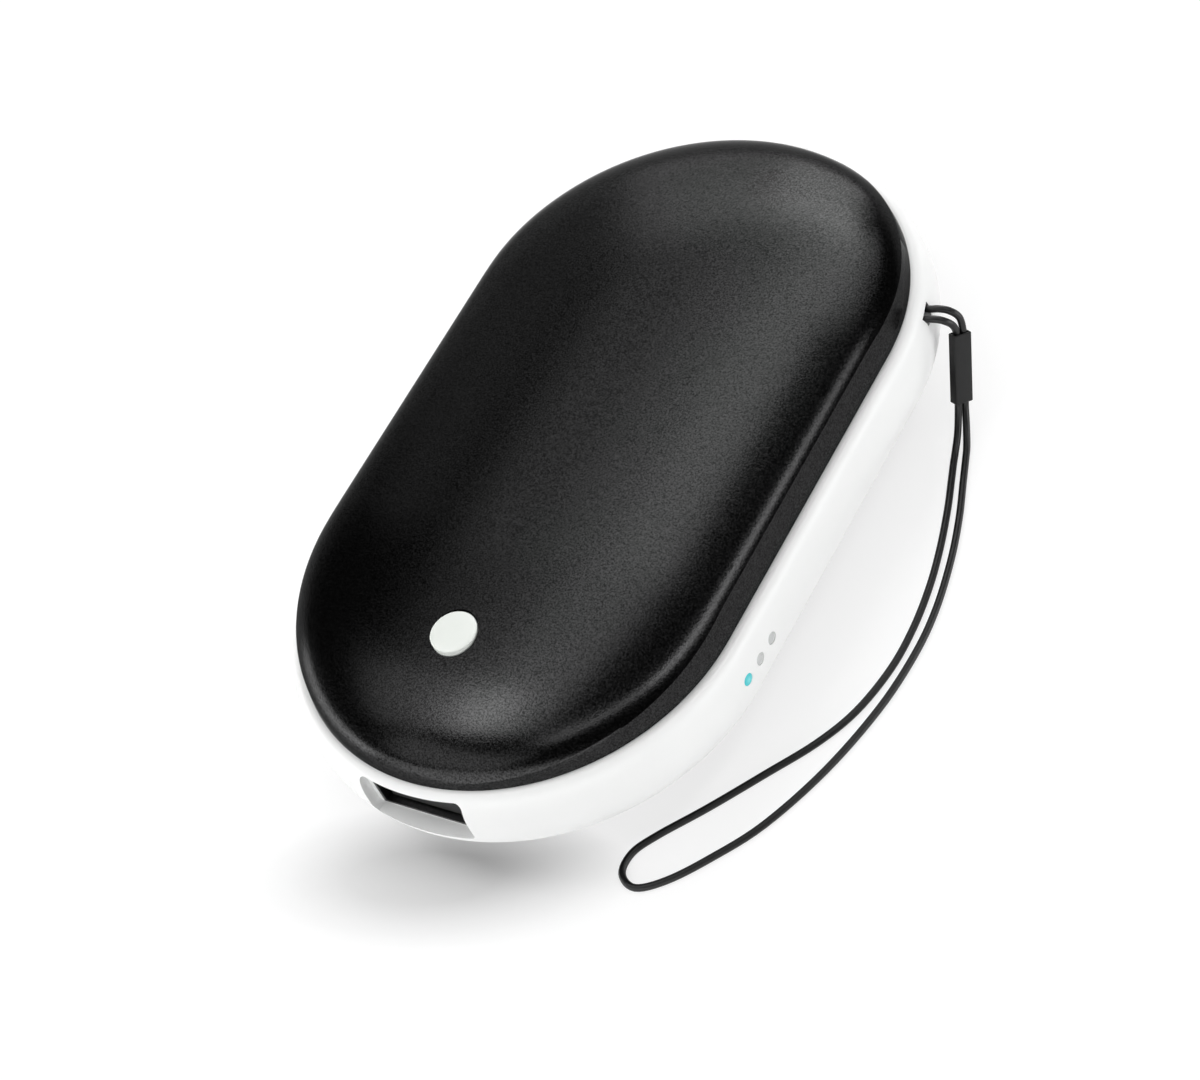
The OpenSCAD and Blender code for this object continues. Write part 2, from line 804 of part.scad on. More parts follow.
module battery_tray() {
    plate_r = inner_r - fit_gap;
    saddle_low = mid_z - cell_d * 9 / 20;
    saddle_side = cell_side + ledge_w * 3 / 4;
    room = cell_side + fit_gap;
    end_room = nickel_t + 2 * fit_gap;
    front_room = end_room + paper_t;
    color(white_plastic)
        difference() {
            union() {
                // Plate round the cells, lying on the frame's screw posts
                intersection() {
                    translate([0, 0, tray_bottom])
                        linear_extrude(tray_t)
                            body_outline(plate_r, straight);
                    block([-half_w, tray_front, 0], [half_w, half_l, total_h]);
                }
                for (i = [0:2])
                    translate([0, saddle_front_y + i * saddle_step, 0])
                        block([-saddle_side, -saddle_t / 2, saddle_low], [saddle_side, saddle_t / 2, tray_top]);
                // Props under the board's rear edge
                for (x = [-1, 1])
                    block(
                        [x * prop_x - saddle_t / 2, tray_front, tray_bottom],
                        [x * prop_x + saddle_t / 2, tray_front + saddle_t, board_z]);
            }
            cell_channels(cell_d / 2 + fit_gap);
            // Middle of the plate, between the cells
            block(
                [-cell_x - fit_gap, cell_front - front_room, saddle_low - cut],
                [cell_x + fit_gap, cell_rear + end_room, tray_top + cut]);
            // Room for the strips at the cells' ends
            block([-room, cell_front - front_room, tray_bottom - cut], [room, cell_front, tray_top + cut]);
            block(
                [-nickel_reach - fit_gap, cell_rear, tray_bottom - cut],
                [nickel_reach + fit_gap, cell_rear + end_room, tray_top + cut]);
            at_tray_screws()
                translate([0, 0, tray_bottom - cut])
                    cylinder(h = tray_t + 2 * cut, r = screw_d / 2 + touch_gap);
            // Notch for the lower heater's leads
            block(
                [heater_lead_x - 2 * wire_d, tray_front - cut, tray_bottom - cut],
                [heater_lead_x + 2 * wire_d, cell_front, tray_top + cut]);
        }
}

module battery_cell(side) {
    translate([side * cell_x, cell_front + terminal_h, mid_z])
        rotate([-90, 0, 0]) {
            cylinder(h = cell_l - terminal_h, r = cell_d / 2);
            translate([0, 0, -terminal_h])
                cylinder(h = 2 * terminal_h, r = terminal_d / 2);
        }
}

module battery_cell_left() {
    color("mediumseagreen")
        battery_cell(-1);
}

module battery_cell_right() {
    color("mediumseagreen")
        battery_cell(1);
}

// Paper rings between the cans and the front strip, round the raised terminals
module insulator_paper() {
    color("linen")
        translate([0, cell_front + terminal_h - paper_t, mid_z])
            rotate([-90, 0, 0])
                linear_extrude(paper_t - touch_gap)
                    for (side = [-1, 1])
                        translate([side * cell_x, 0])
                            difference() {
                                circle(cell_d / 2 - fit_gap);
                                circle(terminal_d / 2 + fit_gap);
                            }
}

module nickel_strip_front() {
    color(steel)
        block(
            [-nickel_reach, cell_front - nickel_t, mid_z - nickel_w / 2],
            [nickel_reach, cell_front, mid_z + nickel_w / 2]);
}

module nickel_strip_rear() {
    color(steel)
        block(
            [-nickel_reach, cell_rear, mid_z - nickel_w / 2],
            [nickel_reach, cell_rear + nickel_t, mid_z + nickel_w / 2]);
}

// Solid inside the dome at a depth below its skin, over a rounded rectangle
module dome_core_block(side, length, depth, low) {
    intersection() {
        round_body(dome_straight)
            polygon(dome_section(depth, cut));
        translate([0, heater_y, low])
            linear_extrude(dome_h)
                rounded_rectangle(2 * side, length, film_corner);
    }
}

module heater_film() {
    difference() {
        dome_core_block(film_side, film_l, cover_wall + film_gap, 0);
        round_body(dome_straight)
            polygon(dome_section(cover_wall + film_gap + film_t, cut));
    }
}

module foam_pad() {
    dome_core_block(foam_side, foam_l, cover_wall + foam_gap, cell_d / 2 + touch_gap - frame_h / 2);
}

module heater_film_top() {
    color("orange")
        above_frame()
            heater_film();
}

module heater_film_bottom() {
    color("orange")
        below_frame()
            heater_film();
}

module foam_pad_top() {
    color(foam_grey)
        difference() {
            above_frame()
                foam_pad();
            // Notch for the thermistor
            block(
                [thermistor_x - thermistor_d, foam_front - cut, mid_z],
                [thermistor_x + thermistor_d, foam_front + 2 * thermistor_d, total_h]);
        }
}

module foam_pad_bottom() {
    color(foam_grey)
        below_frame()
            foam_pad();
}

// Points of a line whose inner corners are rounded with bends of that reach
function with_bends(p, reach) = concat(
    [p[0]],
    [for (i = [1:len(p) - 2], k = [0:4])
        let (
            f = k / 4,
            from = p[i] + min(reach, norm(p[i - 1] - p[i]) * 0.45) * unit(p[i - 1] - p[i]),
            to = p[i] + min(reach, norm(p[i + 1] - p[i]) * 0.45) * unit(p[i + 1] - p[i]))
        pow(1 - f, 2) * from + 2 * f * (1 - f) * p[i] + pow(f, 2) * to],
    [p[len(p) - 1]]);

// An insulated wire with rounded corners
module wire(points) {
    tube(with_bends(points, wire_d), wire_d);
}

module thermistor() {
    color("saddlebrown")
        translate([thermistor_x, foam_front + thermistor_d / 2, thermistor_z])
            sphere(thermistor_d / 2, $fn = 32);
}

// Leads of the bead, which run forward over the cells to the board
module thermistor_lead() {
    color("saddlebrown")
        wire([
            [thermistor_x, foam_front - touch_gap, thermistor_z],
            [thermistor_x, cell_front, thermistor_z - wire_d / 2],
            [thermistor_x, lead_front, thermistor_z - 2 * wire_d],
            [thermistor_x, lead_front, board_top]]);
}

module battery_lead_red() {
    start_y = cell_front - nickel_t - wire_d / 2;
    color("crimson")
        wire([
            [red_lead_x, start_y, mid_z + nickel_w / 4],
            [red_lead_x, start_y, lead_z],
            [red_lead_x, lead_front, lead_z],
            [red_lead_x, lead_front, board_top]]);
}

module battery_lead_black() {
    end_y = cell_rear + nickel_t + wire_d / 2;
    color("black")
        wire([
            [0, end_y, mid_z + nickel_w / 4],
            [0, end_y, lead_z],
            [0, cell_rear - cell_d, lead_z],
            [0, board_rear + wire_d / 2, lead_z],
            [black_lead_x, board_rear + wire_d / 2, lead_z],
            [black_lead_x, lead_front, lead_z],
            [black_lead_x, lead_front, board_top]]);
}

module heater_leads_top() {
    z = top_rim_z + dome_z(heater_lead_x + wire_d, cover_wall + foam_gap) - wire_d / 2;
    color("firebrick")
        for (side = [-0.75, 0.75])
            wire([
                [heater_lead_x + side * wire_d, film_front + wire_d, z],
                [heater_lead_x + side * wire_d, cell_front, z - wire_d / 2],
                [heater_lead_x + side * wire_d, lead_front, z - 2 * wire_d],
                [heater_lead_x + side * wire_d, lead_front, board_top]]);
}

module heater_leads_bottom() {
    z = mid_z - frame_h / 2 - dome_z(heater_lead_x + wire_d, cover_wall + foam_gap) + wire_d / 2;
    y = board_rear - wire_d;
    color("firebrick")
        for (side = [-0.75, 0.75])
            wire([
                [heater_lead_x + side * wire_d, film_front + wire_d, z],
                [heater_lead_x + side * wire_d, cell_front, z + wire_d / 2],
                [heater_lead_x + side * wire_d, y, z + 2 * wire_d],
                [heater_lead_x + side * wire_d, y, board_z]]);
}

module lamp_board() {
    color(board_green)
        translate([lamp_x - lamp_board_t, lamp_y + lamp_pitch - lamp_board_l / 2, tray_top])
            cube([lamp_board_t, lamp_board_l, lamp_board_h]);
}

module lamp_leds(first, last) {
    for (i = [first:last])
        translate([lamp_x, lamp_y + i * lamp_pitch - led_w / 2, lamp_z - led_h / 2])
            cube([led_t, led_w, led_h]);
}

module lamp_led_lit() {
    color("aquamarine")
        lamp_leds(0, 0);
}

module lamp_leds_unlit() {
    color("ivory")
        lamp_leds(1, 2);
}

// Clear pins that carry the lamps' light through the frame, a little short of its surface
module light_pins(first, last) {
    from = lamp_x + led_t + touch_gap;
    for (i = [first:last])
        translate([from, lamp_y + i * lamp_pitch, lamp_z])
            rotate([0, 90, 0])
                cylinder(
                    h = outline_x(lamp_y + i * lamp_pitch) - lamp_sink - from,
                    r = lamp_d / 2 - touch_gap);
}

module light_pin_lit() {
    color("cyan")
        light_pins(0, 0);
}

module light_pins_unlit() {
    color("gainsboro")
        light_pins(1, 2);
}

module lamp_lead() {
    y = lamp_y + lamp_pitch - lamp_board_l / 2 - wire_d / 2;
    x = lamp_x - lamp_board_t - wire_d;
    high = board_top + 2 * wire_d;
    color("gray")
        wire([
            [lamp_x - lamp_board_t / 2, y, tray_top + lamp_board_h / 2],
            [lamp_x - lamp_board_t / 2, y, high],
            [x - wire_d, lead_front, high],
            [x - wire_d, lead_front, board_top]]);
}

function unit(v) = v / norm(v);

// Direction of a line at each of its points
function directions(p) = [for (i = [0:len(p) - 1])
    unit(p[min(i + 1, len(p) - 1)] - p[max(i - 1, 0)])];

// Side vectors carried along the line without twist
function carried(t, i, n) = i == len(t)
    ? []
    : let (m = unit(n - (n * t[i]) * t[i])) concat([m], carried(t, i + 1, m));

// Point between two points of a route, on a smooth curve through them
function between(p, i, f) =
    let (
        a = p[max(i - 1, 0)],
        b = p[i],
        c = p[i + 1],
        d = p[min(i + 2, len(p) - 1)])
    b + f * ((c - a) / 2 + f * (a - 2.5 * b + 2 * c - d / 2 + f * (1.5 * (b - c) + (d - a) / 2)));

function smooth(p, parts) = concat(
    [for (i = [0:len(p) - 2], k = [0:parts - 1]) between(p, i, k / parts)],
    [p[len(p) - 1]]);

// Round tube along a line of points, as one closed mesh
module tube(p, d) {
    sides = 8;
    t = directions(p);
    n = carried(t, 0, [1, 0, 0]);
    last = len(p) - 1;
    ring = [for (k = [0:sides - 1]) k];
    polyhedron(
        points = [for (i = [0:last], k = ring)
            let (a = 360 * k / sides)
            p[i] + d / 2 * (cos(a) * n[i] + sin(a) * cross(t[i], n[i]))],
        faces = concat(
            [for (k = [1:sides - 2]) [0, k, k + 1]],
            [for (k = [1:sides - 2]) [last * sides, last * sides + k + 1, last * sides + k]],
            [for (i = [0:last - 1], k = ring)
                [i * sides + k, (i + 1) * sides + k, (i + 1) * sides + (k + 1) % sides]],
            [for (i = [0:last - 1], k = ring)
                [i * sides + k, (i + 1) * sides + (k + 1) % sides, i * sides + (k + 1) % sides]]));
}

module strap_tie() {
    color(black_plastic)
        tube(tie_points, cord_d);
}

module strap_cord() {
    color(black_plastic)
        tube([for (q = smooth(loop_points, 2)) [q[0], q[1], max(q[2], cord_d / 2)]], cord_d);
}

module strap_sleeve() {
    axis = sleeve_head - sleeve_foot;
    wall = (sleeve_t - cord_d) / 2;
    color(black_plastic)
        translate(sleeve_foot)
            rotate([-atan2(axis[1], axis[2]), 0, 0])
                rotate([0, 0, sleeve_turn])
                    linear_extrude(norm(axis))
                        difference() {
                            rounded_rectangle(sleeve_w, sleeve_t, wall);
                            rounded_rectangle(sleeve_w - 2 * wall, sleeve_t - 2 * wall, wall);
                        }
}

top_cover();
bottom_cover();
mid_frame();
power_button();
switch_body();
switch_plunger();
switch_dome();
circuit_board();
board_screws();
usb_shell();
usb_tongue();
usb_contacts();
charge_shell();
charge_tongue();
charge_contacts();
controller_chip();
charger_chip();
power_inductor();
capacitors();
battery_tray();
tray_screws();
battery_cell_left();
battery_cell_right();
insulator_paper();
nickel_strip_front();
nickel_strip_rear();
heater_film_top();
heater_film_bottom();
foam_pad_top();
foam_pad_bottom();
thermistor();
thermistor_lead();
battery_lead_red();
battery_lead_black();
heater_leads_top();
heater_leads_bottom();
lamp_lead();
lamp_board();
lamp_led_lit();
lamp_leds_unlit();
light_pin_lit();
light_pins_unlit();
strap_tie();
strap_cord();
strap_sleeve();
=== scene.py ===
from math import atan2, cos, hypot, pi, radians, sin, sqrt, tan

import bmesh
import bpy
from mathutils import Matrix, Vector


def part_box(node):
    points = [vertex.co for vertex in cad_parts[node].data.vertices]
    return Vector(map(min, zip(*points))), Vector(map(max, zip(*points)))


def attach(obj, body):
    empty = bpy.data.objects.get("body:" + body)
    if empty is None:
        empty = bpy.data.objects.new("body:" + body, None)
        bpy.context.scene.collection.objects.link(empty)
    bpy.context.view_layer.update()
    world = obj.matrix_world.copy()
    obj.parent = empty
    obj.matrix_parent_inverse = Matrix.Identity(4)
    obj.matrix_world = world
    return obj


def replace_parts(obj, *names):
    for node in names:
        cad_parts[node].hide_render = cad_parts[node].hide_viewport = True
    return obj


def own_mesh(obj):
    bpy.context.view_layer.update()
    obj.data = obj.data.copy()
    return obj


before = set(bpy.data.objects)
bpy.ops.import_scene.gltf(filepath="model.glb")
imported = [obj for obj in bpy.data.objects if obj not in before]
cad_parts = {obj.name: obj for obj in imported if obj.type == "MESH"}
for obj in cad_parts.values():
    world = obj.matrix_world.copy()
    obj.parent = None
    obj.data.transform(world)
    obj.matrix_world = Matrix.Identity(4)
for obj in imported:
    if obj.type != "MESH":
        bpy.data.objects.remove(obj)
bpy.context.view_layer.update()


# View
# The camera looks down on the near right side of the body, rolled so that its long axis leans
# to the right. It is a long lens, as for a small product.
azimuth = radians(49.289)
elevation = radians(46.802)
roll = radians(27.216)
distance = 0.434085
aim = Vector((0, 0, 0.0127))
forward = Vector((-sin(azimuth) * cos(elevation), cos(azimuth) * cos(elevation), -sin(elevation)))
level = Vector((cos(azimuth), sin(azimuth), 0))
upright = level.cross(forward)
right = cos(roll) * level - sin(roll) * upright
up = sin(roll) * level + cos(roll) * upright
lens = bpy.data.cameras.new("camera")
lens.lens = 108.966
lens.sensor_width = 36
lens.shift_x = -0.01683
lens.shift_y = -0.0553
camera = bpy.data.objects.new("camera", lens)
camera_turn = Matrix((right, up, -forward)).transposed().to_4x4()
camera.matrix_world = Matrix.Translation(aim - distance * forward) @ camera_turn
bpy.context.scene.collection.objects.link(camera)
bpy.context.scene.camera = camera
bpy.context.scene.view_settings.view_transform = "Standard"


# Strap cord
# One thin waxed cord. It starts in the sleeve, passes round the post in the frame's slot, comes
# back through the sleeve, makes the wrist loop on the table and ends in the sleeve again.
mm = 0.001
cord_d = 0.9 * mm
tie_route = [
    (31.4, 27.8, 8.1), (31.4, 28.9, 10.2), (31.4, 29.9, 12.2), (31.3, 29.9, 13.7), (30.6, 29.5, 14.8),
    (29.6, 29.2, 15.2), (28.6, 28.9, 15.2), (27.2, 28.0, 15.2), (26.2, 27.2, 15.2), (24.9, 27.3, 15.2),
    (24.0, 28.3, 15.2), (24.2, 29.7, 15.2), (25.2, 30.6, 15.2), (26.7, 30.6, 15.2), (28.2, 30.5, 15.2),
    (29.4, 30.8, 15.2), (30.6, 31.1, 14.8), (31.5, 31.3, 13.6), (31.8, 30.7, 11.8), (31.8, 29.8, 10.0),
    (31.8, 28.8, 8.1)]
loop_route = [
    (31.4, 27.7, 7.9), (31.4, 26.1, 5.1), (31.4, 25.2, 3.4), (31.7, 23.2, 1.4), (32.3, 20.5, 0.45),
    (33.4, 17.3, 0.45), (34.9, 13.0, 0.45), (36.5, 7.5, 0.45), (37.7, 2.0, 0.45), (38.4, -4.0, 0.45),
    (38.3, -10.0, 0.45), (36.9, -16.5, 0.45), (34.3, -21.8, 0.45), (30.4, -27.2, 0.45),
    (25.8, -33.4, 0.45), (21.6, -38.6, 0.45), (19.8, -41.6, 0.45), (20.0, -44.4, 0.45),
    (22.4, -45.6, 0.45), (25.6, -43.6, 0.45), (29.2, -39.5, 0.45), (33.3, -33.6, 0.45),
    (37.0, -24.9, 0.45), (39.4, -15.5, 0.45), (40.2, -7.5, 0.45), (39.9, -1.0, 0.45),
    (38.6, 6.0, 0.45), (36.9, 12.0, 0.45), (34.9, 17.5, 0.45), (33.4, 21.6, 0.45),
    (32.4, 24.2, 1.3), (31.8, 26.2, 3.1), (31.8, 27.1, 4.7), (31.8, 28.7, 7.9)]


def drawn_smooth(points, parts):
    """Points on a smooth curve through a route, with that many parts between two of its points."""
    ends = [points[0], *points, points[-1]]
    line = []
    for a, b, c, d in zip(ends, ends[1:], ends[2:], ends[3:]):
        for k in range(parts):
            f = k / parts
            third = 1.5 * (b - c) + (d - a) / 2
            line.append(b + f * ((c - a) / 2 + f * (a - 2.5 * b + 2 * c - d / 2 + f * third)))
    return [*line, points[-1]]


class Shade:
    """A socket in a finish. Arithmetic with shades adds Math nodes to the same finish."""

    def __init__(self, tree, socket=None):
        self.tree = tree
        self.socket = socket

    def node(self, kind, settings, sockets, output=0):
        """One of the outputs of a new node with those settings and inputs."""
        made = self.tree.nodes.new("ShaderNode" + kind)
        for name, value in settings.items():
            if name == "stops":
                stops = made.color_ramp.elements
                while len(stops) < len(value):
                    stops.new(1)
                for stop, (place, tone) in zip(stops, value):
                    stop.position = place
                    stop.color = (tone, tone, tone, 1)
            else:
                setattr(made, name, value)
        for name, value in sockets.items():
            if isinstance(value, Shade):
                self.tree.links.new(value.socket, made.inputs[name])
            else:
                made.inputs[name].default_value = value
        return Shade(self.tree, made.outputs[output])

    def maths(self, operation, a, b):
        """The output of a new Math node."""
        return self.node("Math", {"operation": operation}, {0: a, 1: b})

    def __add__(self, other):
        return self.maths("ADD", self, other)

    def __sub__(self, other):
        return self.maths("SUBTRACT", self, other)

    def __rsub__(self, other):
        return self.maths("SUBTRACT", other, self)

    def __mul__(self, other):
        return self.maths("MULTIPLY", self, other)

    def __truediv__(self, other):
        return self.maths("DIVIDE", self, other)

    __radd__ = __add__
    __rmul__ = __mul__


def new_finish(name):
    """A material and the shade that its nodes start from."""
    material = bpy.data.materials.new(name)
    material.use_nodes = True
    return material, Shade(material.node_tree)


def surface(material, sockets):
    """Sets the sockets of a finish's shader, by value or by shade."""
    shader = material.node_tree.nodes["Principled BSDF"]
    for name, value in sockets.items():
        if isinstance(value, Shade):
            material.node_tree.links.new(value.socket, shader.inputs[name])
        else:
            shader.inputs[name].default_value = value


def speckle(start, size, detail=2):
    """Noise whose grains have about that size in metres, fixed to the piece."""
    place = start.node("TexCoord", {}, {}, "Object")
    return start.node("TexNoise", {}, {"Vector": place, "Scale": 1 / size, "Detail": detail})


def blended(start, share, a, b):
    """A colour between two colours."""
    return start.node("Mix", {"data_type": "RGBA"}, {0: share, 6: (*a, 1), 7: (*b, 1)}, 2)


def bump(start, height, depth):
    """A relief of that depth in metres for a height from 0 to 1."""
    return start.node("Bump", {}, {"Strength": 1, "Distance": depth, "Height": height})


waxed_cord, start = new_finish("waxed_cord")
surface(waxed_cord, {
    "Base Color": blended(start, speckle(start, 0.4 * mm), (0.003, 0.003, 0.003), (0.008, 0.008, 0.0085)),
    "Roughness": 0.3 + 0.12 * speckle(start, 0.8 * mm),
    "Specular IOR Level": 0.4,
    "Normal": bump(start, speckle(start, 0.15 * mm), 0.01 * mm)})

cord_line = [Vector((x, y, z)) * mm for x, y, z in [*reversed(tie_route), *loop_route]]
cord_path = [Vector((p.x, p.y, max(p.z, cord_d / 2))) for p in drawn_smooth(cord_line, parts=6)]
cord_curve = bpy.data.curves.new("strap_cord_line", "CURVE")
cord_curve.dimensions = "3D"
cord_curve.bevel_depth = cord_d / 2
cord_curve.bevel_resolution = 5
cord_curve.use_fill_caps = True
cord_curve.materials.append(waxed_cord)
cord_spline = cord_curve.splines.new("POLY")
cord_spline.points.add(len(cord_path) - 1)
for point, place in zip(cord_spline.points, cord_path):
    point.co = (*place, 1)
strap = bpy.data.objects.new("strap", cord_curve)
bpy.context.scene.collection.objects.link(strap)
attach(strap, "body")
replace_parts(strap, "strap_tie", "strap_cord")


# Strap sleeve
# A short flat tube of soft black rubber that is pushed on over the runs of the cord and holds
# them together.
sleeve_foot = Vector((31.6, 26.1, 4)) * mm
sleeve_head = Vector((31.6, 30.3, 12)) * mm
sleeve_turn = radians(65)
sleeve_w = 2.5 * mm
sleeve_t = 1.4 * mm
sleeve_wall = 0.25 * mm
sleeve_corner = 0.22 * mm
sleeve_least_corner = 0.06 * mm


def new_piece(name, points, faces, finish, smooth_below=35):
    """A mesh piece whose edges are smooth where they turn by less than that many degrees."""
    mesh = bpy.data.meshes.new(name)
    mesh.from_pydata(points, [], faces)
    form = bmesh.new()
    form.from_mesh(mesh)
    bmesh.ops.remove_doubles(form, verts=form.verts, dist=mm / 10000)
    bmesh.ops.recalc_face_normals(form, faces=form.faces)
    form.to_mesh(mesh)
    form.free()
    mesh.materials.append(finish)
    mesh.shade_smooth()
    mesh.set_sharp_from_angle(angle=radians(smooth_below))
    piece = bpy.data.objects.new(name, mesh)
    bpy.context.scene.collection.objects.link(piece)
    return piece


def lofted(rings, closed=False, caps=False):
    """Points and faces of a skin through rings of equally many points."""
    count = len(rings[0])
    points = [p for ring in rings for p in ring]
    faces = []
    for r in range(len(rings) - (not closed)):
        a = r * count
        b = (r + 1) % len(rings) * count
        faces += [(a + k, a + (k + 1) % count, b + (k + 1) % count, b + k) for k in range(count)]
    if caps:
        faces += [range(count), range(len(points) - count, len(points))]
    return points, faces


def rounded_outline(w, h, corner, steps=5):
    """Points round a rectangle with round corners, drawn on its middle."""
    outline = []
    for quarter, (x, y) in enumerate([(1, 1), (-1, 1), (-1, -1), (1, -1)]):
        for k in range(steps + 1):
            turn = pi / 2 * (quarter + k / steps)
            outline.append((
                x * (w / 2 - corner) + corner * cos(turn),
                y * (h / 2 - corner) + corner * sin(turn)))
    return outline


sleeve_rubber, start = new_finish("sleeve_rubber")
surface(sleeve_rubber, {
    "Base Color": blended(start, speckle(start, 0.5 * mm), (0.004, 0.004, 0.004), (0.01, 0.01, 0.0105)),
    "Roughness": 0.42 + 0.15 * speckle(start, 1 * mm),
    "Specular IOR Level": 0.3,
    "Normal": bump(start, speckle(start, 0.12 * mm), 0.012 * mm)})

sleeve_axis = sleeve_head - sleeve_foot
sleeve_l = sleeve_axis.length
lead_in = 0.1 * mm
# Inset of the outline and height, from the tube's inside at the foot round to its inside at the head
sleeve_section = [
    (sleeve_wall, sleeve_l / 2), (sleeve_wall, lead_in), (sleeve_wall - lead_in / 2, 0), (lead_in, 0),
    (0, lead_in), (0, sleeve_l - lead_in), (lead_in, sleeve_l), (sleeve_wall - lead_in / 2, sleeve_l),
    (sleeve_wall, sleeve_l - lead_in)]
sleeve_place = (
    Matrix.Translation(sleeve_foot)
    @ Matrix.Rotation(-atan2(sleeve_axis.y, sleeve_axis.z), 4, "X")
    @ Matrix.Rotation(sleeve_turn, 4, "Z"))
sleeve_rings = []
for inset, z in sleeve_section:
    corner = max(sleeve_corner - inset, sleeve_least_corner)
    outline = rounded_outline(sleeve_w - 2 * inset, sleeve_t - 2 * inset, corner)
    sleeve_rings.append([sleeve_place @ Vector((x, y, z)) for x, y in outline])
sleeve = new_piece("strap_sleeve_tube", *lofted(sleeve_rings, closed=True), sleeve_rubber)
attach(sleeve, "body")
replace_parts(sleeve, "strap_sleeve")


# Top cover
# A deep-drawn aluminium shell, bead blasted and anodised black. The dome ends in a soft shoulder
# above flat leaning side walls, which run out at both ends of the body.
cover_low, cover_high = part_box("top_cover")
cover_r = cover_high.x
cover_straight = cover_high.y - cover_r
dome_h = cover_high.z - cover_low.z
cover_wall = 1.2 * mm
top_lean = tan(radians(8))
side_cut = 3.2 * mm
flat_top = 1.4 * mm
dome_r = cover_r + side_cut
dome_straight = cover_straight - side_cut
dome_run = dome_r - flat_top
shoulder_w = 2.2 * mm
shoulder_least = 0.4
shoulder_fall = 0.3 * mm
shoulder_full_at = 3 * mm
edge_round = 0.12 * mm
button_hole_r = 3 * mm
button_low, button_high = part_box("power_button")
button_y = (button_low.y + button_high.y) / 2


def body_perimeter(straight, side_steps, end_steps):
    """Middle points and outward directions round the body, each side with the same places."""
    round_the_body = []
    for way in (1, -1):
        for k in range(side_steps):
            y = straight * (2 * k / side_steps - 1) * way
            round_the_body.append((Vector((0, y)), Vector((way, 0))))
        for k in range(end_steps):
            turn = pi * k / end_steps
            round_the_body.append((Vector((0, straight * way)), Vector((cos(turn), sin(turn))) * way))
    return round_the_body


def dome_height(place, inset):
    """Height of the dome over the rim, that far inside its skin."""
    reach = hypot(place.x, max(0, abs(place.y) - dome_straight)) - flat_top
    share = max(0, reach) / (dome_run - inset)
    return (dome_h - inset) * sqrt(max(0, 1 - share * share))


def crease(foot, outward, inset, lean):
    """Height at which a side wall with that lean meets the dome."""
    low, high = 0, dome_h
    for _ in range(40):
        middle = (low + high) / 2
        if dome_height(foot - middle * lean * outward, inset) > middle:
            low = middle
        else:
            high = middle
    return low


def cover_profile(middle, outward, inset, steps, lean):
    """Points from the rim up the wall, over the shoulder and along the dome to its middle."""
    foot = middle + (cover_r - inset) * outward
    meeting = crease(foot, outward, inset, lean)
    full = min(1, meeting / shoulder_full_at)
    top = meeting - shoulder_fall * full
    corner = foot - top * lean * outward
    inner = Vector((0, middle.y * dome_straight / cover_straight))
    way = inner - corner
    first = shoulder_w * (shoulder_least + (1 - shoulder_least) * full) / way.length
    start_place = corner + first * way
    start_z = dome_height(start_place, inset)
    step = 0.01 * first
    slope = (dome_height(start_place - step * way, inset) - start_z) / step
    # The shoulder leaves the dome along its slope and rolls over towards the crease
    knee_share = 0.6
    knee = Vector((*(start_place - knee_share * first * way), start_z + knee_share * first * slope))
    low_point = Vector((*corner, top))
    high_point = Vector((*start_place, start_z))
    chamfer = edge_round if inset == 0 else 0
    points = [
        Vector((*(foot - chamfer * outward), 0)),
        Vector((*(foot - chamfer * lean * outward), min(chamfer, top / 4)))]
    for k in range(steps + 1):
        f = k / steps
        points.append((1 - f) ** 2 * low_point + 2 * f * (1 - f) * knee + f * f * high_point)
    dome_steps = 4 * steps
    for k in range(1, dome_steps + 1):
        f = first + (1 - first) * (1 - cos(pi / 2 * k / dome_steps))
        place = corner + min(f, 1) * way
        points.append(Vector((*place, dome_height(place, inset))))
    return points


def cover_shell(lean, steps=12):
    """Skin of a cover on its rim: inside from the middle to the rim, then outside back to the middle."""
    around = body_perimeter(cover_straight, side_steps=120, end_steps=150)
    inside = [cover_profile(middle, out, cover_wall, steps // 2, lean) for middle, out in around]
    outside = [cover_profile(middle, out, 0, steps, lean) for middle, out in around]
    rings = [list(ring) for ring in zip(*inside)][::-1] + [list(ring) for ring in zip(*outside)]
    return lofted(rings)


def prism(outline, place, depth):
    """A straight cutter with that outline, from a place's XY plane up to a depth."""
    rings = [[place @ Vector((x, y, z)) for x, y in outline] for z in (0, depth)]
    return new_piece("cutter", *lofted(rings, caps=True), None)


def circle(r, steps=96):
    """Points round a circle drawn on its middle."""
    return [(r * cos(2 * pi * k / steps), r * sin(2 * pi * k / steps)) for k in range(steps)]


weld_below = mm / 200
sliver_below = mm / 500


def cut_out(piece, cutters, smooth_below=35):
    """Cuts the cutters' shapes out of a piece for good, and clears the slivers that this leaves."""
    for cutter in cutters:
        modifier = piece.modifiers.new("cut", "BOOLEAN")
        modifier.operation = "DIFFERENCE"
        modifier.solver = "EXACT"
        modifier.object = cutter
    seen = bpy.context.evaluated_depsgraph_get()
    piece.data = bpy.data.meshes.new_from_object(piece.evaluated_get(seen))
    piece.modifiers.clear()
    form = bmesh.new()
    form.from_mesh(piece.data)
    bmesh.ops.remove_doubles(form, verts=form.verts, dist=weld_below)
    bmesh.ops.dissolve_degenerate(form, edges=form.edges, dist=sliver_below)
    form.to_mesh(piece.data)
    form.free()
    piece.data.shade_smooth()
    piece.data.set_sharp_from_angle(angle=radians(smooth_below))
    for cutter in cutters:
        bpy.data.objects.remove(cutter)


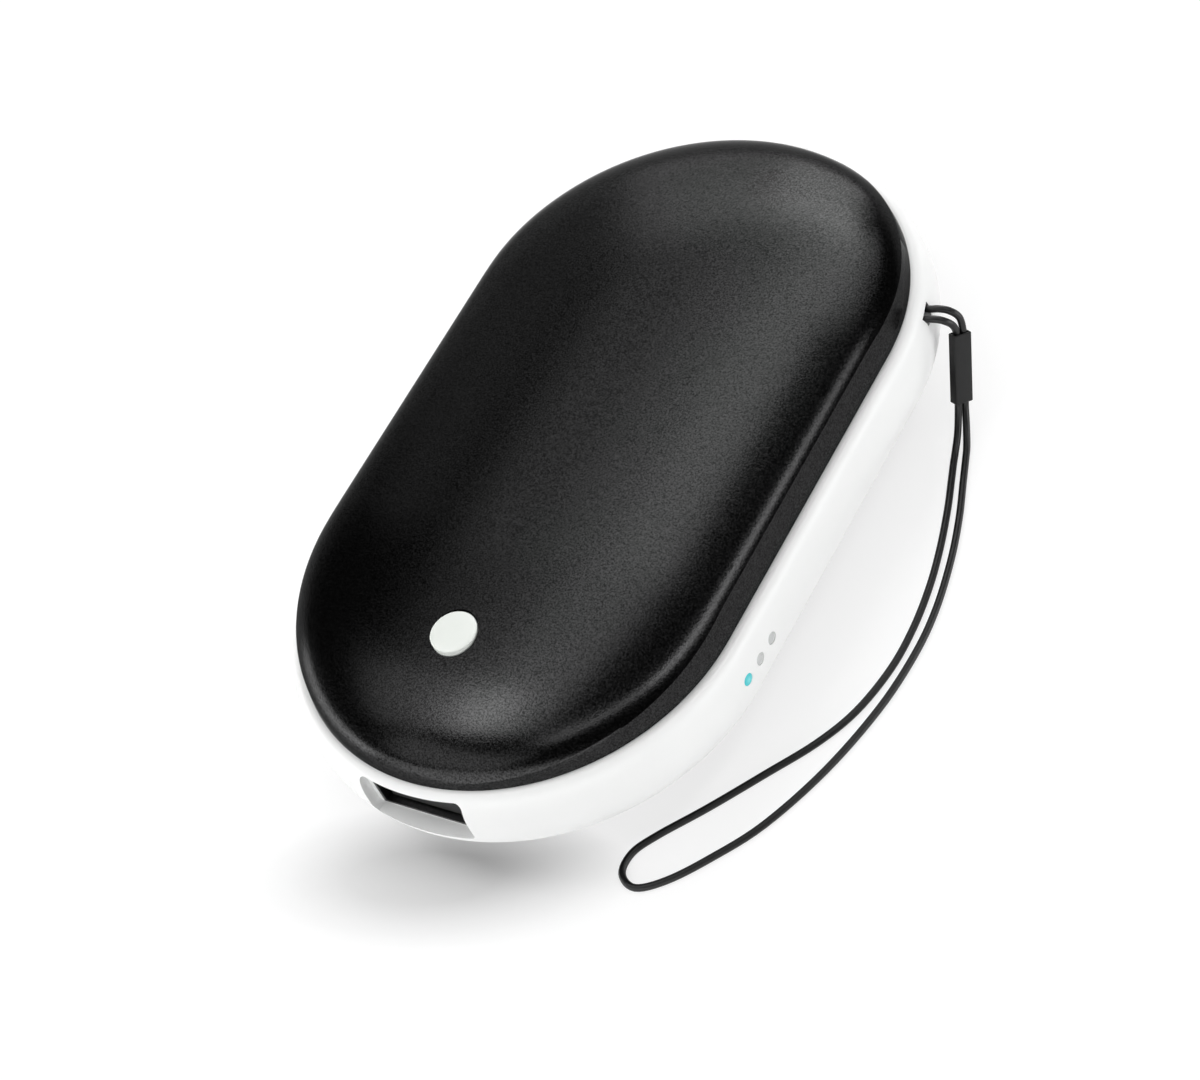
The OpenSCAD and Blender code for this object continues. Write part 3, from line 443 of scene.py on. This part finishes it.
black_aluminium, start = new_finish("black_aluminium")
blast = speckle(start, 0.2 * mm, 3)
grains = start.node("ValToRGB", {"stops": [(0.35, 0), (0.65, 1)]}, {"Fac": blast})
surface(black_aluminium, {
    "Base Color": blended(start, grains, (0.012, 0.012, 0.012), (0.044, 0.044, 0.0445)),
    "Metallic": 1,
    "Roughness": 0.16 + 0.08 * grains,
    "Specular Tint": (0.52, 0.52, 0.52, 1),
    "Normal": bump(start, blast, 0.01 * mm)})

top_points, top_faces = cover_shell(top_lean)
top_points = [(x, y, cover_low.z + z) for x, y, z in top_points]
top_cover = new_piece("top_cover_shell", top_points, top_faces, black_aluminium)
button_hole = prism(circle(button_hole_r), Matrix.Translation((0, button_y, cover_low.z)), 2 * dome_h)
cut_out(top_cover, [button_hole])
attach(top_cover, "body")
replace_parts(top_cover, "top_cover")


# Bottom cover
# A shell like the upper one, turned over, whose side walls draw in under the frame. A small flat
# is ground on its dome, on which the warmer lies.
bottom_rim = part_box("bottom_cover")[1].z
bottom_lean = tan(radians(42))
bottom_points, bottom_faces = cover_shell(bottom_lean)
bottom_points = [(x, y, max(0, bottom_rim - z)) for x, y, z in bottom_points]
bottom_cover = new_piece("bottom_cover_shell", bottom_points, bottom_faces, black_aluminium)
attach(bottom_cover, "body")
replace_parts(bottom_cover, "bottom_cover")


# Middle frame
# One moulding of glossy white plastic. It carries both covers, and it is cut through for the
# sockets, the lamps and the strap.
frame_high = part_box("mid_frame")[1]
half_w = frame_high.x
frame_z = (cover_low.z + bottom_rim) / 2
frame_h = cover_low.z - bottom_rim
ledge_w = 2.7 * mm
inner_r = cover_r - ledge_w
lip_h = frame_high.z - cover_low.z
lip_gap = 0.15 * mm
section_steps = 40
fullness = 2.4


def signed_power(value, power):
    """A power of a number's size, with the number's own sign."""
    return abs(value) ** power * (1 if value > 0 else -1)


def frame_section(middle, outward):
    """Section of the frame: the rounded outside, then the ledges and lips of both covers."""
    def at(reach, height):
        return Vector((*(middle + reach * outward), frame_z + height))
    points = []
    for k in range(section_steps + 1):
        turn = pi * (k / section_steps - 0.5)
        points.append(at(
            cover_r + (half_w - cover_r) * abs(cos(turn)) ** (2 / fullness),
            frame_h / 2 * signed_power(sin(turn), 2 / fullness)))
    inset = cover_wall + lip_gap
    lip_r = cover_r - inset
    for side, lean in ((1, top_lean), (-1, bottom_lean)):
        room = crease(middle + lip_r * outward, outward, inset, lean)
        rise = min(lip_h, room, (lip_r - inner_r - lip_gap) / lean)
        lip_top = frame_h / 2 + rise
        lip = [(lip_r, frame_h / 2), (lip_r - rise * lean, lip_top), (inner_r, lip_top)]
        points += [at(reach, side * height) for reach, height in lip[::side]]
    return points


usb_low, usb_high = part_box("usb_shell")
usb_centre = (usb_low + usb_high) / 2
usb_w = usb_high.x - usb_low.x
usb_h = usb_high.z - usb_low.z
recess_margin = 0.6 * mm
recess_floor = 0.1 * mm
recess_ceiling = 0.55 * mm
recess_corner = 0.9 * mm
seat_gap = 0.05 * mm
seat_ahead = 5 * mm
cutter_l = 20 * mm
out_of_near_end = Matrix.Translation((0, usb_low.y, usb_centre.z)) @ Matrix.Rotation(pi / 2, 4, "X")
usb_recess = prism(
    rounded_outline(usb_w + 2 * recess_margin, usb_h + recess_floor + recess_ceiling, recess_corner),
    out_of_near_end @ Matrix.Translation((0, (recess_ceiling - recess_floor) / 2, 0)), cutter_l)
usb_seat = prism(
    rounded_outline(usb_w + 2 * seat_gap, usb_h + 2 * seat_gap, seat_gap),
    out_of_near_end @ Matrix.Translation((0, 0, -cutter_l)), cutter_l + seat_ahead)
charge_low, charge_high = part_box("charge_shell")
charge_w = 7.6 * mm
charge_turn = radians(30)
charge_seat_l = 10 * mm
charge_seat_inside = 3 * mm
charge_h = charge_high.z - charge_low.z
out_of_left_end = (
    Matrix.Translation((0, -cover_straight, (charge_low.z + charge_high.z) / 2))
    @ Matrix.Rotation(charge_turn, 4, "Z") @ Matrix.Rotation(-pi / 2, 4, "Y"))
charge_seat = prism(
    rounded_outline(charge_h + 2 * seat_gap, charge_w + 2 * seat_gap, seat_gap),
    out_of_left_end @ Matrix.Translation((0, 0, inner_r - charge_seat_inside)), charge_seat_l)
lamp_places = []
for node in ("light_pin_lit", "light_pins_unlit"):
    low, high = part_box(node)
    pin_d = high.z - low.z
    lamp_places.append(low.y + pin_d / 2)
    if high.y - low.y > 2 * pin_d:
        lamp_places.append(high.y - pin_d / 2)
lamp_z = (low.z + high.z) / 2
lamp_hole_r = 0.78 * mm
lamp_holes = []
for y in lamp_places:
    out_of_side = Matrix.Translation((0, y, lamp_z)) @ Matrix.Rotation(pi / 2, 4, "Y")
    lamp_holes.append(prism(circle(lamp_hole_r, 48), out_of_side, 2 * half_w))
strap_turn = radians(17)
strap_z = frame_z + 2.5 * mm
strap_slot_h = 1.5 * mm
strap_post_at = half_w - 3.1 * mm
strap_post_r = 1.1 * mm
strap_wide = strap_post_r + 1.5 * cord_d
at_strap_slot = (
    Matrix.Translation((0, cover_straight, strap_z - strap_slot_h / 2))
    @ Matrix.Rotation(strap_turn, 4, "Z"))
# Reach and half width of the slot, which is wide round the post and narrow at the frame's skin
strap_slot_half = [
    (inner_r - mm, strap_wide), (strap_post_at + cord_d / 2, strap_wide), (cover_r, 0.86 * strap_wide),
    (half_w - cord_d, 0.72 * strap_wide), (half_w, 0.45 * strap_wide), (half_w + mm, 0.45 * strap_wide)]
strap_slot = prism(
    [(x, -y) for x, y in strap_slot_half] + strap_slot_half[::-1], at_strap_slot, strap_slot_h)

white_plastic, start = new_finish("white_plastic")
mottle = speckle(start, 6 * mm)
surface(white_plastic, {
    "Base Color": blended(start, mottle, (0.86, 0.865, 0.86), (0.89, 0.895, 0.89)),
    "Roughness": 0.28 + 0.1 * speckle(start, 2 * mm),
    "Specular IOR Level": 0.4,
    "Normal": bump(start, speckle(start, 0.3 * mm), 0.002 * mm)})

around = body_perimeter(cover_straight, side_steps=60, end_steps=120)
frame_rings = [frame_section(middle, out) for middle, out in around]
body_frame = new_piece("frame_moulding", *lofted(frame_rings, closed=True), white_plastic, smooth_below=40)
cut_out(body_frame, [usb_recess, usb_seat, charge_seat, *lamp_holes, strap_slot], smooth_below=40)
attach(body_frame, "body")
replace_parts(body_frame, "mid_frame")
post_outline = circle(strap_post_r, 48)
post_ends = []
for z in (0, strap_slot_h):
    post_ends.append([at_strap_slot @ Vector((strap_post_at + x, y, z)) for x, y in post_outline])
strap_post = new_piece("strap_post", *lofted(post_ends, caps=True), white_plastic)
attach(strap_post, "body")


# Power button
# A round cap of white plastic with a softly domed face. It stands a little proud of the cover
# and moves with the switch's plunger.
def dress(finish, *nodes):
    """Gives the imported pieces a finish."""
    for name in nodes:
        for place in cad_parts[name].material_slots:
            place.material = finish


button_plastic, start = new_finish("button_plastic")
surface(button_plastic, {
    "Base Color": blended(start, speckle(start, 1.5 * mm), (0.78, 0.81, 0.77), (0.81, 0.84, 0.8)),
    "Roughness": 0.36 + 0.08 * speckle(start, 0.8 * mm),
    "Normal": bump(start, speckle(start, 0.2 * mm), 0.002 * mm)})
dress(button_plastic, "power_button")


# Switch
# A square tactile switch on the board: a black housing and plunger, and a snap disc of spring
# steel under the plunger.
def moulded(name, dark, light, roughness, grain=0.2):
    """A moulded plastic or rubber with a slight grain and uneven gloss."""
    finish, start = new_finish(name)
    surface(finish, {
        "Base Color": blended(start, speckle(start, 1.2 * mm), dark, light),
        "Roughness": roughness + 0.1 * speckle(start, 0.7 * mm),
        "Normal": bump(start, speckle(start, grain * mm), 0.004 * mm)})
    return finish


def metal(name, dark, light, roughness, streak=1):
    """A sheet metal, drawn or rolled along Y where its streaks are longer than 1."""
    finish, start = new_finish(name)
    place = start.node("TexCoord", {}, {}, "Object")
    drawn = start.node("Mapping", {}, {"Vector": place, "Scale": (1, 1 / streak, 1)})
    lines = start.node("TexNoise", {}, {"Vector": drawn, "Scale": 1 / (0.12 * mm), "Detail": 3})
    surface(finish, {
        "Base Color": blended(start, lines, dark, light),
        "Metallic": 1,
        "Roughness": roughness + 0.12 * lines,
        "Normal": bump(start, lines, 0.003 * mm)})
    return finish


switch_plastic = moulded("switch_plastic", (0.018, 0.018, 0.018), (0.03, 0.03, 0.031), 0.45)
dress(switch_plastic, "switch_body", "switch_plunger", "controller_chip", "charger_chip")

disc_low, disc_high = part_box("switch_dome")
disc_t = 0.05 * mm
disc_r = disc_high.x
disc_rise = disc_high.z - disc_low.z - disc_t
disc_fullness = 0.8
disc_steps = 12
disc_under = []
disc_over = []
for k in range(disc_steps):
    r = disc_r * (1 - k / disc_steps)
    z = disc_low.z + disc_rise * cos(pi / 2 * r / disc_r) ** disc_fullness
    disc_under.append([(x, button_y + y, z) for x, y in circle(r, 64)])
    disc_over.append([(x, y, z + disc_t) for x, y, z in disc_under[-1]])
snap_disc = new_piece(
    "snap_disc", *lofted(disc_under[::-1] + disc_over, caps=True),
    metal("spring_steel", (0.55, 0.56, 0.57), (0.68, 0.69, 0.7), 0.25))
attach(snap_disc, "body")
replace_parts(snap_disc, "switch_dome")
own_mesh(snap_disc)


# USB socket
# A folded steel shell, coloured dark grey, round a dark insulator, whose tongue carries four bright
# contacts. It is soldered to the board and looks out of the frame's near end.
socket_steel = metal("socket_steel", (0.1, 0.1, 0.1), (0.18, 0.18, 0.18), 0.25, 6)
dress(socket_steel, "usb_shell", "charge_shell")
socket_plastic = moulded("socket_plastic", (0.01, 0.01, 0.01), (0.018, 0.018, 0.018), 0.4)
dress(socket_plastic, "usb_tongue", "charge_tongue")
bright_contact = metal("bright_contact", (0.5, 0.49, 0.46), (0.66, 0.65, 0.62), 0.3, 4)
dress(bright_contact, "usb_contacts", "charge_contacts")


# Lamps
# Three clear pins lead the light of three small lamps through the frame. The nearest is lit
# cyan, and the other two are off.
lit_low, lit_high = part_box("light_pin_lit")
lit_end = Vector((lit_high.x, (lit_low.y + lit_high.y) / 2, (lit_low.z + lit_high.z) / 2))
lit_pin, start = new_finish("lit_pin")
place = start.node("TexCoord", {}, {}, "Object")
from_axis = start.node("VectorMath", {"operation": "SUBTRACT"}, {0: place, 1: lit_end})
radial = start.node("VectorMath", {"operation": "MULTIPLY"}, {0: from_axis, 1: (0, 1, 1)})
off_axis = start.node("VectorMath", {"operation": "LENGTH"}, {0: radial}, 1)
rim_share = off_axis / ((lit_high.z - lit_low.z) / 2)
glow = start.node("ValToRGB", {"stops": [(0.1, 0), (0.9, 1)]}, {"Fac": rim_share})
surface(lit_pin, {
    "Base Color": (0.05, 0.3, 0.32, 1),
    "Roughness": 0.2 + 0.1 * speckle(start, 0.3 * mm),
    "Emission Color": blended(start, glow, (0.25, 0.8, 0.82), (0.02, 0.5, 0.56)),
    "Emission Strength": 0.5})

pin_gap = 0.03 * mm
pin_r = lamp_hole_r - pin_gap
pin_shoulder = 0.1 * mm
pin_crown = 0.14 * mm
pin_crown_steps = 9
# The frame's skin at the pins' height, from the form of its section
pin_sink = (abs(lamp_z - frame_z) / (frame_h / 2)) ** (fullness / 2)
pin_end = cover_r + (half_w - cover_r) * sqrt(1 - pin_sink ** 2) ** (2 / fullness)


def light_pin(name, finish, y):
    """A clear pin from behind the frame's skin to a softly domed end level with it."""
    shoulder_x = pin_end - pin_shoulder
    section = [(lit_low.x, 1), (shoulder_x, 1)]
    for k in range(1, pin_crown_steps):
        turn = pi / 2 * k / pin_crown_steps
        section.append((shoulder_x + pin_crown * sin(turn), cos(turn)))
    rings = []
    for x, share in section:
        rings.append([(x, y + share * b, lamp_z + share * a) for a, b in circle(pin_r, 48)])
    pin = new_piece(name, *lofted(rings, caps=True), finish)
    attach(pin, "body")
    return pin


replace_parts(light_pin("light_pin_cyan", lit_pin, lamp_places[0]), "light_pin_lit")

clear_pin, start = new_finish("clear_pin")
surface(clear_pin, {
    "Base Color": blended(start, speckle(start, 0.5 * mm), (0.5, 0.51, 0.51), (0.62, 0.63, 0.63)),
    "Roughness": 0.15 + 0.1 * speckle(start, 0.3 * mm),
    "Specular IOR Level": 0.5})
for k, y in enumerate(lamp_places[1:], 1):
    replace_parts(light_pin(f"light_pin_unlit_{k}", clear_pin, y), "light_pins_unlit")

lit_lamp, start = new_finish("lit_lamp")
surface(lit_lamp, {
    "Base Color": blended(start, speckle(start, 0.2 * mm), (0.2, 0.7, 0.75), (0.3, 0.8, 0.85)),
    "Roughness": 0.3,
    "Emission Color": (0.1, 0.8, 0.9, 1),
    "Emission Strength": 1})
dress(lit_lamp, "lamp_led_lit")
dress(moulded("unlit_lamp", (0.7, 0.7, 0.62), (0.8, 0.8, 0.74), 0.3), "lamp_leds_unlit")


# Circuit boards
# Green fibreglass boards with a solder mask. The main board lies over the front of the tray,
# and the small lamp board stands behind the light pins.
board_green, start = new_finish("board_green")
weave = speckle(start, 0.25 * mm, 3)
surface(board_green, {
    "Base Color": blended(start, weave, (0.008, 0.06, 0.03), (0.015, 0.1, 0.05)),
    "Roughness": 0.3 + 0.15 * weave,
    "Coat Weight": 0.3,
    "Normal": bump(start, weave, 0.01 * mm)})
dress(board_green, "circuit_board", "lamp_board")
bright_metal = metal("can_metal", (0.55, 0.55, 0.56), (0.72, 0.72, 0.73), 0.25)
dress(bright_metal, "capacitors", "board_screws", "tray_screws")
dress(moulded("ferrite", (0.06, 0.06, 0.065), (0.1, 0.1, 0.105), 0.6, 0.1), "power_inductor")


# Cells and tray
# Two wrapped lithium cells side by side, joined at their ends by welded nickel strips, in a
# white moulded tray that is screwed to the frame.
cell_wrap = moulded("cell_wrap", (0.05, 0.3, 0.16), (0.07, 0.37, 0.2), 0.3, 0.6)
dress(cell_wrap, "battery_cell_left", "battery_cell_right")
dress(moulded("paper", (0.55, 0.5, 0.4), (0.68, 0.63, 0.52), 0.8, 0.1), "insulator_paper")
nickel = metal("nickel", (0.5, 0.49, 0.47), (0.66, 0.65, 0.62), 0.3, 8)
dress(nickel, "nickel_strip_front", "nickel_strip_rear")
dress(moulded("tray_plastic", (0.72, 0.73, 0.72), (0.8, 0.81, 0.8), 0.4), "battery_tray")


# Heaters
# A polyimide heating film lies under each cover, pressed on by a pad of soft grey foam. A
# thermistor bead sits in a notch of the upper pad.
polyimide, start = new_finish("polyimide")
place = start.node("TexCoord", {}, {}, "Object")
track_scale = 130
tracks = start.node(
    "TexWave", {"bands_direction": "Y"}, {"Vector": place, "Scale": track_scale, "Distortion": 2})
surface(polyimide, {
    "Base Color": blended(start, tracks, (0.5, 0.16, 0.02), (0.72, 0.3, 0.05)),
    "Roughness": 0.25 + 0.1 * speckle(start, 1 * mm),
    "Normal": bump(start, tracks, 0.01 * mm)})
dress(polyimide, "heater_film_top", "heater_film_bottom")
thermistor_bead = moulded("thermistor_bead", (0.12, 0.04, 0.02), (0.2, 0.07, 0.03), 0.3)
dress(thermistor_bead, "thermistor", "thermistor_lead")

foam, start = new_finish("foam")
place = start.node("TexCoord", {}, {}, "Object")
cells = start.node("TexVoronoi", {}, {"Vector": place, "Scale": 1 / (0.5 * mm)})
surface(foam, {
    "Base Color": blended(start, cells, (0.05, 0.05, 0.055), (0.11, 0.11, 0.12)),
    "Roughness": 0.9,
    "Normal": bump(start, cells, 0.08 * mm)})
foam_soft = 1.2 * mm
foam_draw = 0.5 * mm
foam_corner = 3 * mm
foam_edge_steps = 6
foam_top_steps = 12
foam_gap = cover_wall + 0.4 * mm
# How far a pad's side is drawn in from its edge, in shares of foam_soft, and at what share of its height
foam_side_shares = [(1, 0), (0.3, 0.04), (0, 0.2), (0.35, 0.5), (0, 0.8), (0.3, 0.95)]


def foam_pad(node, rim, side):
    """A crowned pad under a cover, from its flat on the cells to the cover's own curve."""
    low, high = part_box(node)
    flat_z = low.z if side > 0 else high.z
    length = high.y - low.y
    middle_y = (low.y + high.y) / 2

    def level(x, y, share):
        top = rim + side * dome_height(Vector((x, y)), foam_gap)
        return (x, y, flat_z + share * (top - flat_z))

    outline = []
    corners = rounded_outline(high.x - low.x, length, foam_corner, steps=8)
    for (x, y), (next_x, next_y) in zip(corners, corners[1:] + corners[:1]):
        for k in range(foam_edge_steps):
            u = x + k / foam_edge_steps * (next_x - x)
            v = y + k / foam_edge_steps * (next_y - y)
            drawn = 1 - foam_draw * cos(pi * v / length) / high.x
            outline.append(Vector((u * drawn, v)))
    rings = [[level(p.x * f, middle_y + p.y * f, 0) for p in outline] for f in (0.2, 0.6, 0.9)]
    for inward, share in foam_side_shares:
        ring = [p - inward * foam_soft * p.normalized() for p in outline]
        rings.append([level(p.x, middle_y + p.y, share) for p in ring])
    for k in range(foam_top_steps):
        f = (1 - foam_soft / high.x) * (1 - k / foam_top_steps)
        rings.append([level(p.x * f, middle_y + p.y * f, 1) for p in outline])
    pad = new_piece(node + "_foam", *lofted(rings, caps=True), foam, smooth_below=50)
    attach(pad, "body")
    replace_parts(pad, node)
    return pad


upper_pad = foam_pad("foam_pad_top", cover_low.z, 1)
bead_low, bead_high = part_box("thermistor")
bead_room = 0.4 * mm
notch_w = bead_high.x - bead_low.x + 2 * bead_room
notch_l = 4 * mm
notch_place = Matrix.Translation((
    (bead_low.x + bead_high.x) / 2, bead_high.y + bead_room - notch_l / 2, frame_z))
notch = prism(rounded_outline(notch_w, notch_l, bead_room), notch_place, 2 * dome_h)
cut_out(upper_pad, [notch], smooth_below=50)
foam_pad("foam_pad_bottom", bottom_rim, -1)


# Wires
# Silicone-insulated leads of the cells, the heaters and the lamps, soldered to the board.
lead_red = moulded("lead_red", (0.35, 0.015, 0.015), (0.45, 0.025, 0.02), 0.4)
dress(lead_red, "battery_lead_red", "heater_leads_top", "heater_leads_bottom")
dress(moulded("lead_black", (0.012, 0.012, 0.012), (0.02, 0.02, 0.02), 0.4), "battery_lead_black")
dress(moulded("lead_grey", (0.2, 0.2, 0.2), (0.28, 0.28, 0.28), 0.4), "lamp_lead")


# Studio
# A white table under a long softbox, which hangs left of the body, fades to its left and comes
# down behind it. Strips on the right light the shoulder, and low fills all round light the frame.
def looks(start):
    """1 where the camera looks, and 1 where a gloss or something clear does."""
    camera_ray = start.node("LightPath", {}, {}, "Is Camera Ray")
    glossy = start.node("LightPath", {}, {}, "Is Glossy Ray")
    through = start.node("LightPath", {}, {}, "Is Transmission Ray")
    return camera_ray, start.maths("MAXIMUM", glossy, through)


table_white, start = new_finish("table_white")
plain_table = start.node("BsdfDiffuse", {}, {"Color": (0.86, 0.86, 0.86, 1)})
shaded_table = start.node("BsdfDiffuse", {}, {"Color": (0.3, 0.3, 0.3, 1)})
table_glow = start.node("Emission", {}, {"Color": (1, 1, 1, 1), "Strength": 0.75})
white_table = start.node("AddShader", {}, {0: shaded_table, 1: table_glow})
# The table glows where it is seen or mirrored, except in this ellipse before the near end, where the
# body's own shadow shows. Without the glow the ellipse is also painted a little darker than the rest of
# the table, so the shadow there is partly painted shade.
shadow_l = 27 * mm
shadow_w = 10 * mm
shadow_turn = radians(17)
shadow_place = (-4 * mm, -52 * mm, 0)
place = start.node("TexCoord", {}, {}, "Object")
from_shadow = start.node(
    "Mapping", {"vector_type": "TEXTURE"},
    {"Vector": place, "Location": shadow_place, "Rotation": (0, 0, shadow_turn),
     "Scale": (shadow_l, shadow_w, 1)})
shadow_reach = start.node("VectorMath", {"operation": "LENGTH"}, {0: from_shadow}, 1)
shadow_ellipse_share = start.node("ValToRGB", {"stops": [(0.35, 1), (1, 0)]}, {"Fac": shadow_reach})
seen, mirrored = looks(start)
table_shader = start.node(
    "MixShader", {}, {0: seen * (1 - shadow_ellipse_share) + mirrored, 1: plain_table, 2: white_table})
table_output = table_white.node_tree.nodes["Material Output"]
table_white.node_tree.links.new(table_shader.socket, table_output.inputs["Surface"])
half_table = 3
table_corners = [(x * half_table, y * half_table, 0) for x, y in [(-1, -1), (1, -1), (1, 1), (-1, 1)]]
table = new_piece("table", table_corners, [(0, 1, 2, 3)], table_white)


def softbox(name, first, last, width, radiance):
    """A long lamp that faces the body, between two places given from the body's middle in metres."""
    first = Vector(first)
    last = Vector(last)
    middle = (first + last) / 2
    along = (last - first).normalized()
    facing = (middle - middle.dot(along) * along).normalized()
    light = bpy.data.lights.new(name, "AREA")
    light.shape = "RECTANGLE"
    light.size = width
    light.size_y = (last - first).length
    light.energy = radiance * pi * light.size * light.size_y
    lamp = bpy.data.objects.new(name, light)
    turned = Matrix((along.cross(facing), along, facing)).transposed().to_4x4()
    lamp.matrix_world = Matrix.Translation(aim + middle) @ turned
    bpy.context.scene.collection.objects.link(lamp)


softbox("near_core", (-0.14, -0.25, 0.6), (-0.14, 0.25, 0.6), 0.2, 2)
softbox("near_flank", (-0.3, -0.25, 0.6), (-0.3, 0.25, 0.6), 0.12, 0.7)
softbox("near_edge", (-0.43, -0.25, 0.6), (-0.43, 0.25, 0.6), 0.14, 0.45)
softbox("near_left", (-0.47, -0.3, 0.59), (-0.47, -0.02, 0.59), 0.26, 1)
softbox("middle_core", (-0.115, 0.25, 0.6), (-0.14, 1, 0.6), 0.17, 2.9)
softbox("middle_flank", (-0.26, 0.25, 0.6), (-0.31, 1, 0.6), 0.13, 1.5)
softbox("middle_edge", (-0.41, 0.25, 0.6), (-0.51, 1, 0.6), 0.18, 0.85)
softbox("middle_inner", (0.005, 0.4, 0.6), (-0.02, 1.1, 0.6), 0.11, 1.7)
softbox("back_core", (-0.28, 0.93, 0.12), (-0.25, 0.8, 0.6), 0.27, 4.6)
softbox("back_flank", (-0.56, 0.81, 0.12), (-0.47, 0.68, 0.6), 0.3, 2.1)
softbox("back_edge", (-0.8, 0.58, 0.12), (-0.67, 0.48, 0.6), 0.34, 0.4)
softbox("near_lamp", (-0.185, -0.05, 0.52), (-0.185, -0.2, 0.48), 0.13, 4.2)
softbox("side_strip", (0.285, 0.305, 0.43), (0.265, -0.06, 0.535), 0.08, 6.1)
softbox("corner_strip", (0.265, -0.06, 0.535), (0.015, -0.29, 0.525), 0.07, 3)
softbox("front_core", (-0.27, -0.64, 0.4), (-0.2, -0.42, 0.6), 0.55, 1.2)
softbox("front_fill", (0.1, -0.8, 0), (0.08, -0.68, 0.36), 1.6, 2.1)
softbox("left_fill", (-0.72, -0.34, 0), (-0.7, -0.33, 0.2), 0.6, 4)
softbox("right_fill", (0.75, 0.27, 0), (0.72, 0.26, 0.22), 0.9, 4.8)

world = bpy.data.worlds.new("studio")
world.use_nodes = True
bpy.context.scene.world = world
start = Shade(world.node_tree)
room_light = 0.04
far_wall_light = 0.7
# The camera sees the room white. A gloss sees it bright just over the table, and dim above, where the
# lamps hang
way = start.node("TexCoord", {}, {}, "Generated")
rise = start.node("SeparateXYZ", {}, {"Vector": way}, "Z")
low_room = start.node("ValToRGB", {"stops": [(0.08, 1), (0.28, 0)]}, {"Fac": rise})
seen, mirrored = looks(start)
in_gloss = room_light + far_wall_light * low_room
strength = seen + mirrored * in_gloss + (1 - seen - mirrored) * room_light
background = world.node_tree.nodes["Background"]
background.inputs["Color"].default_value = (1, 1, 1, 1)
world.node_tree.links.new(strength.socket, background.inputs["Strength"])
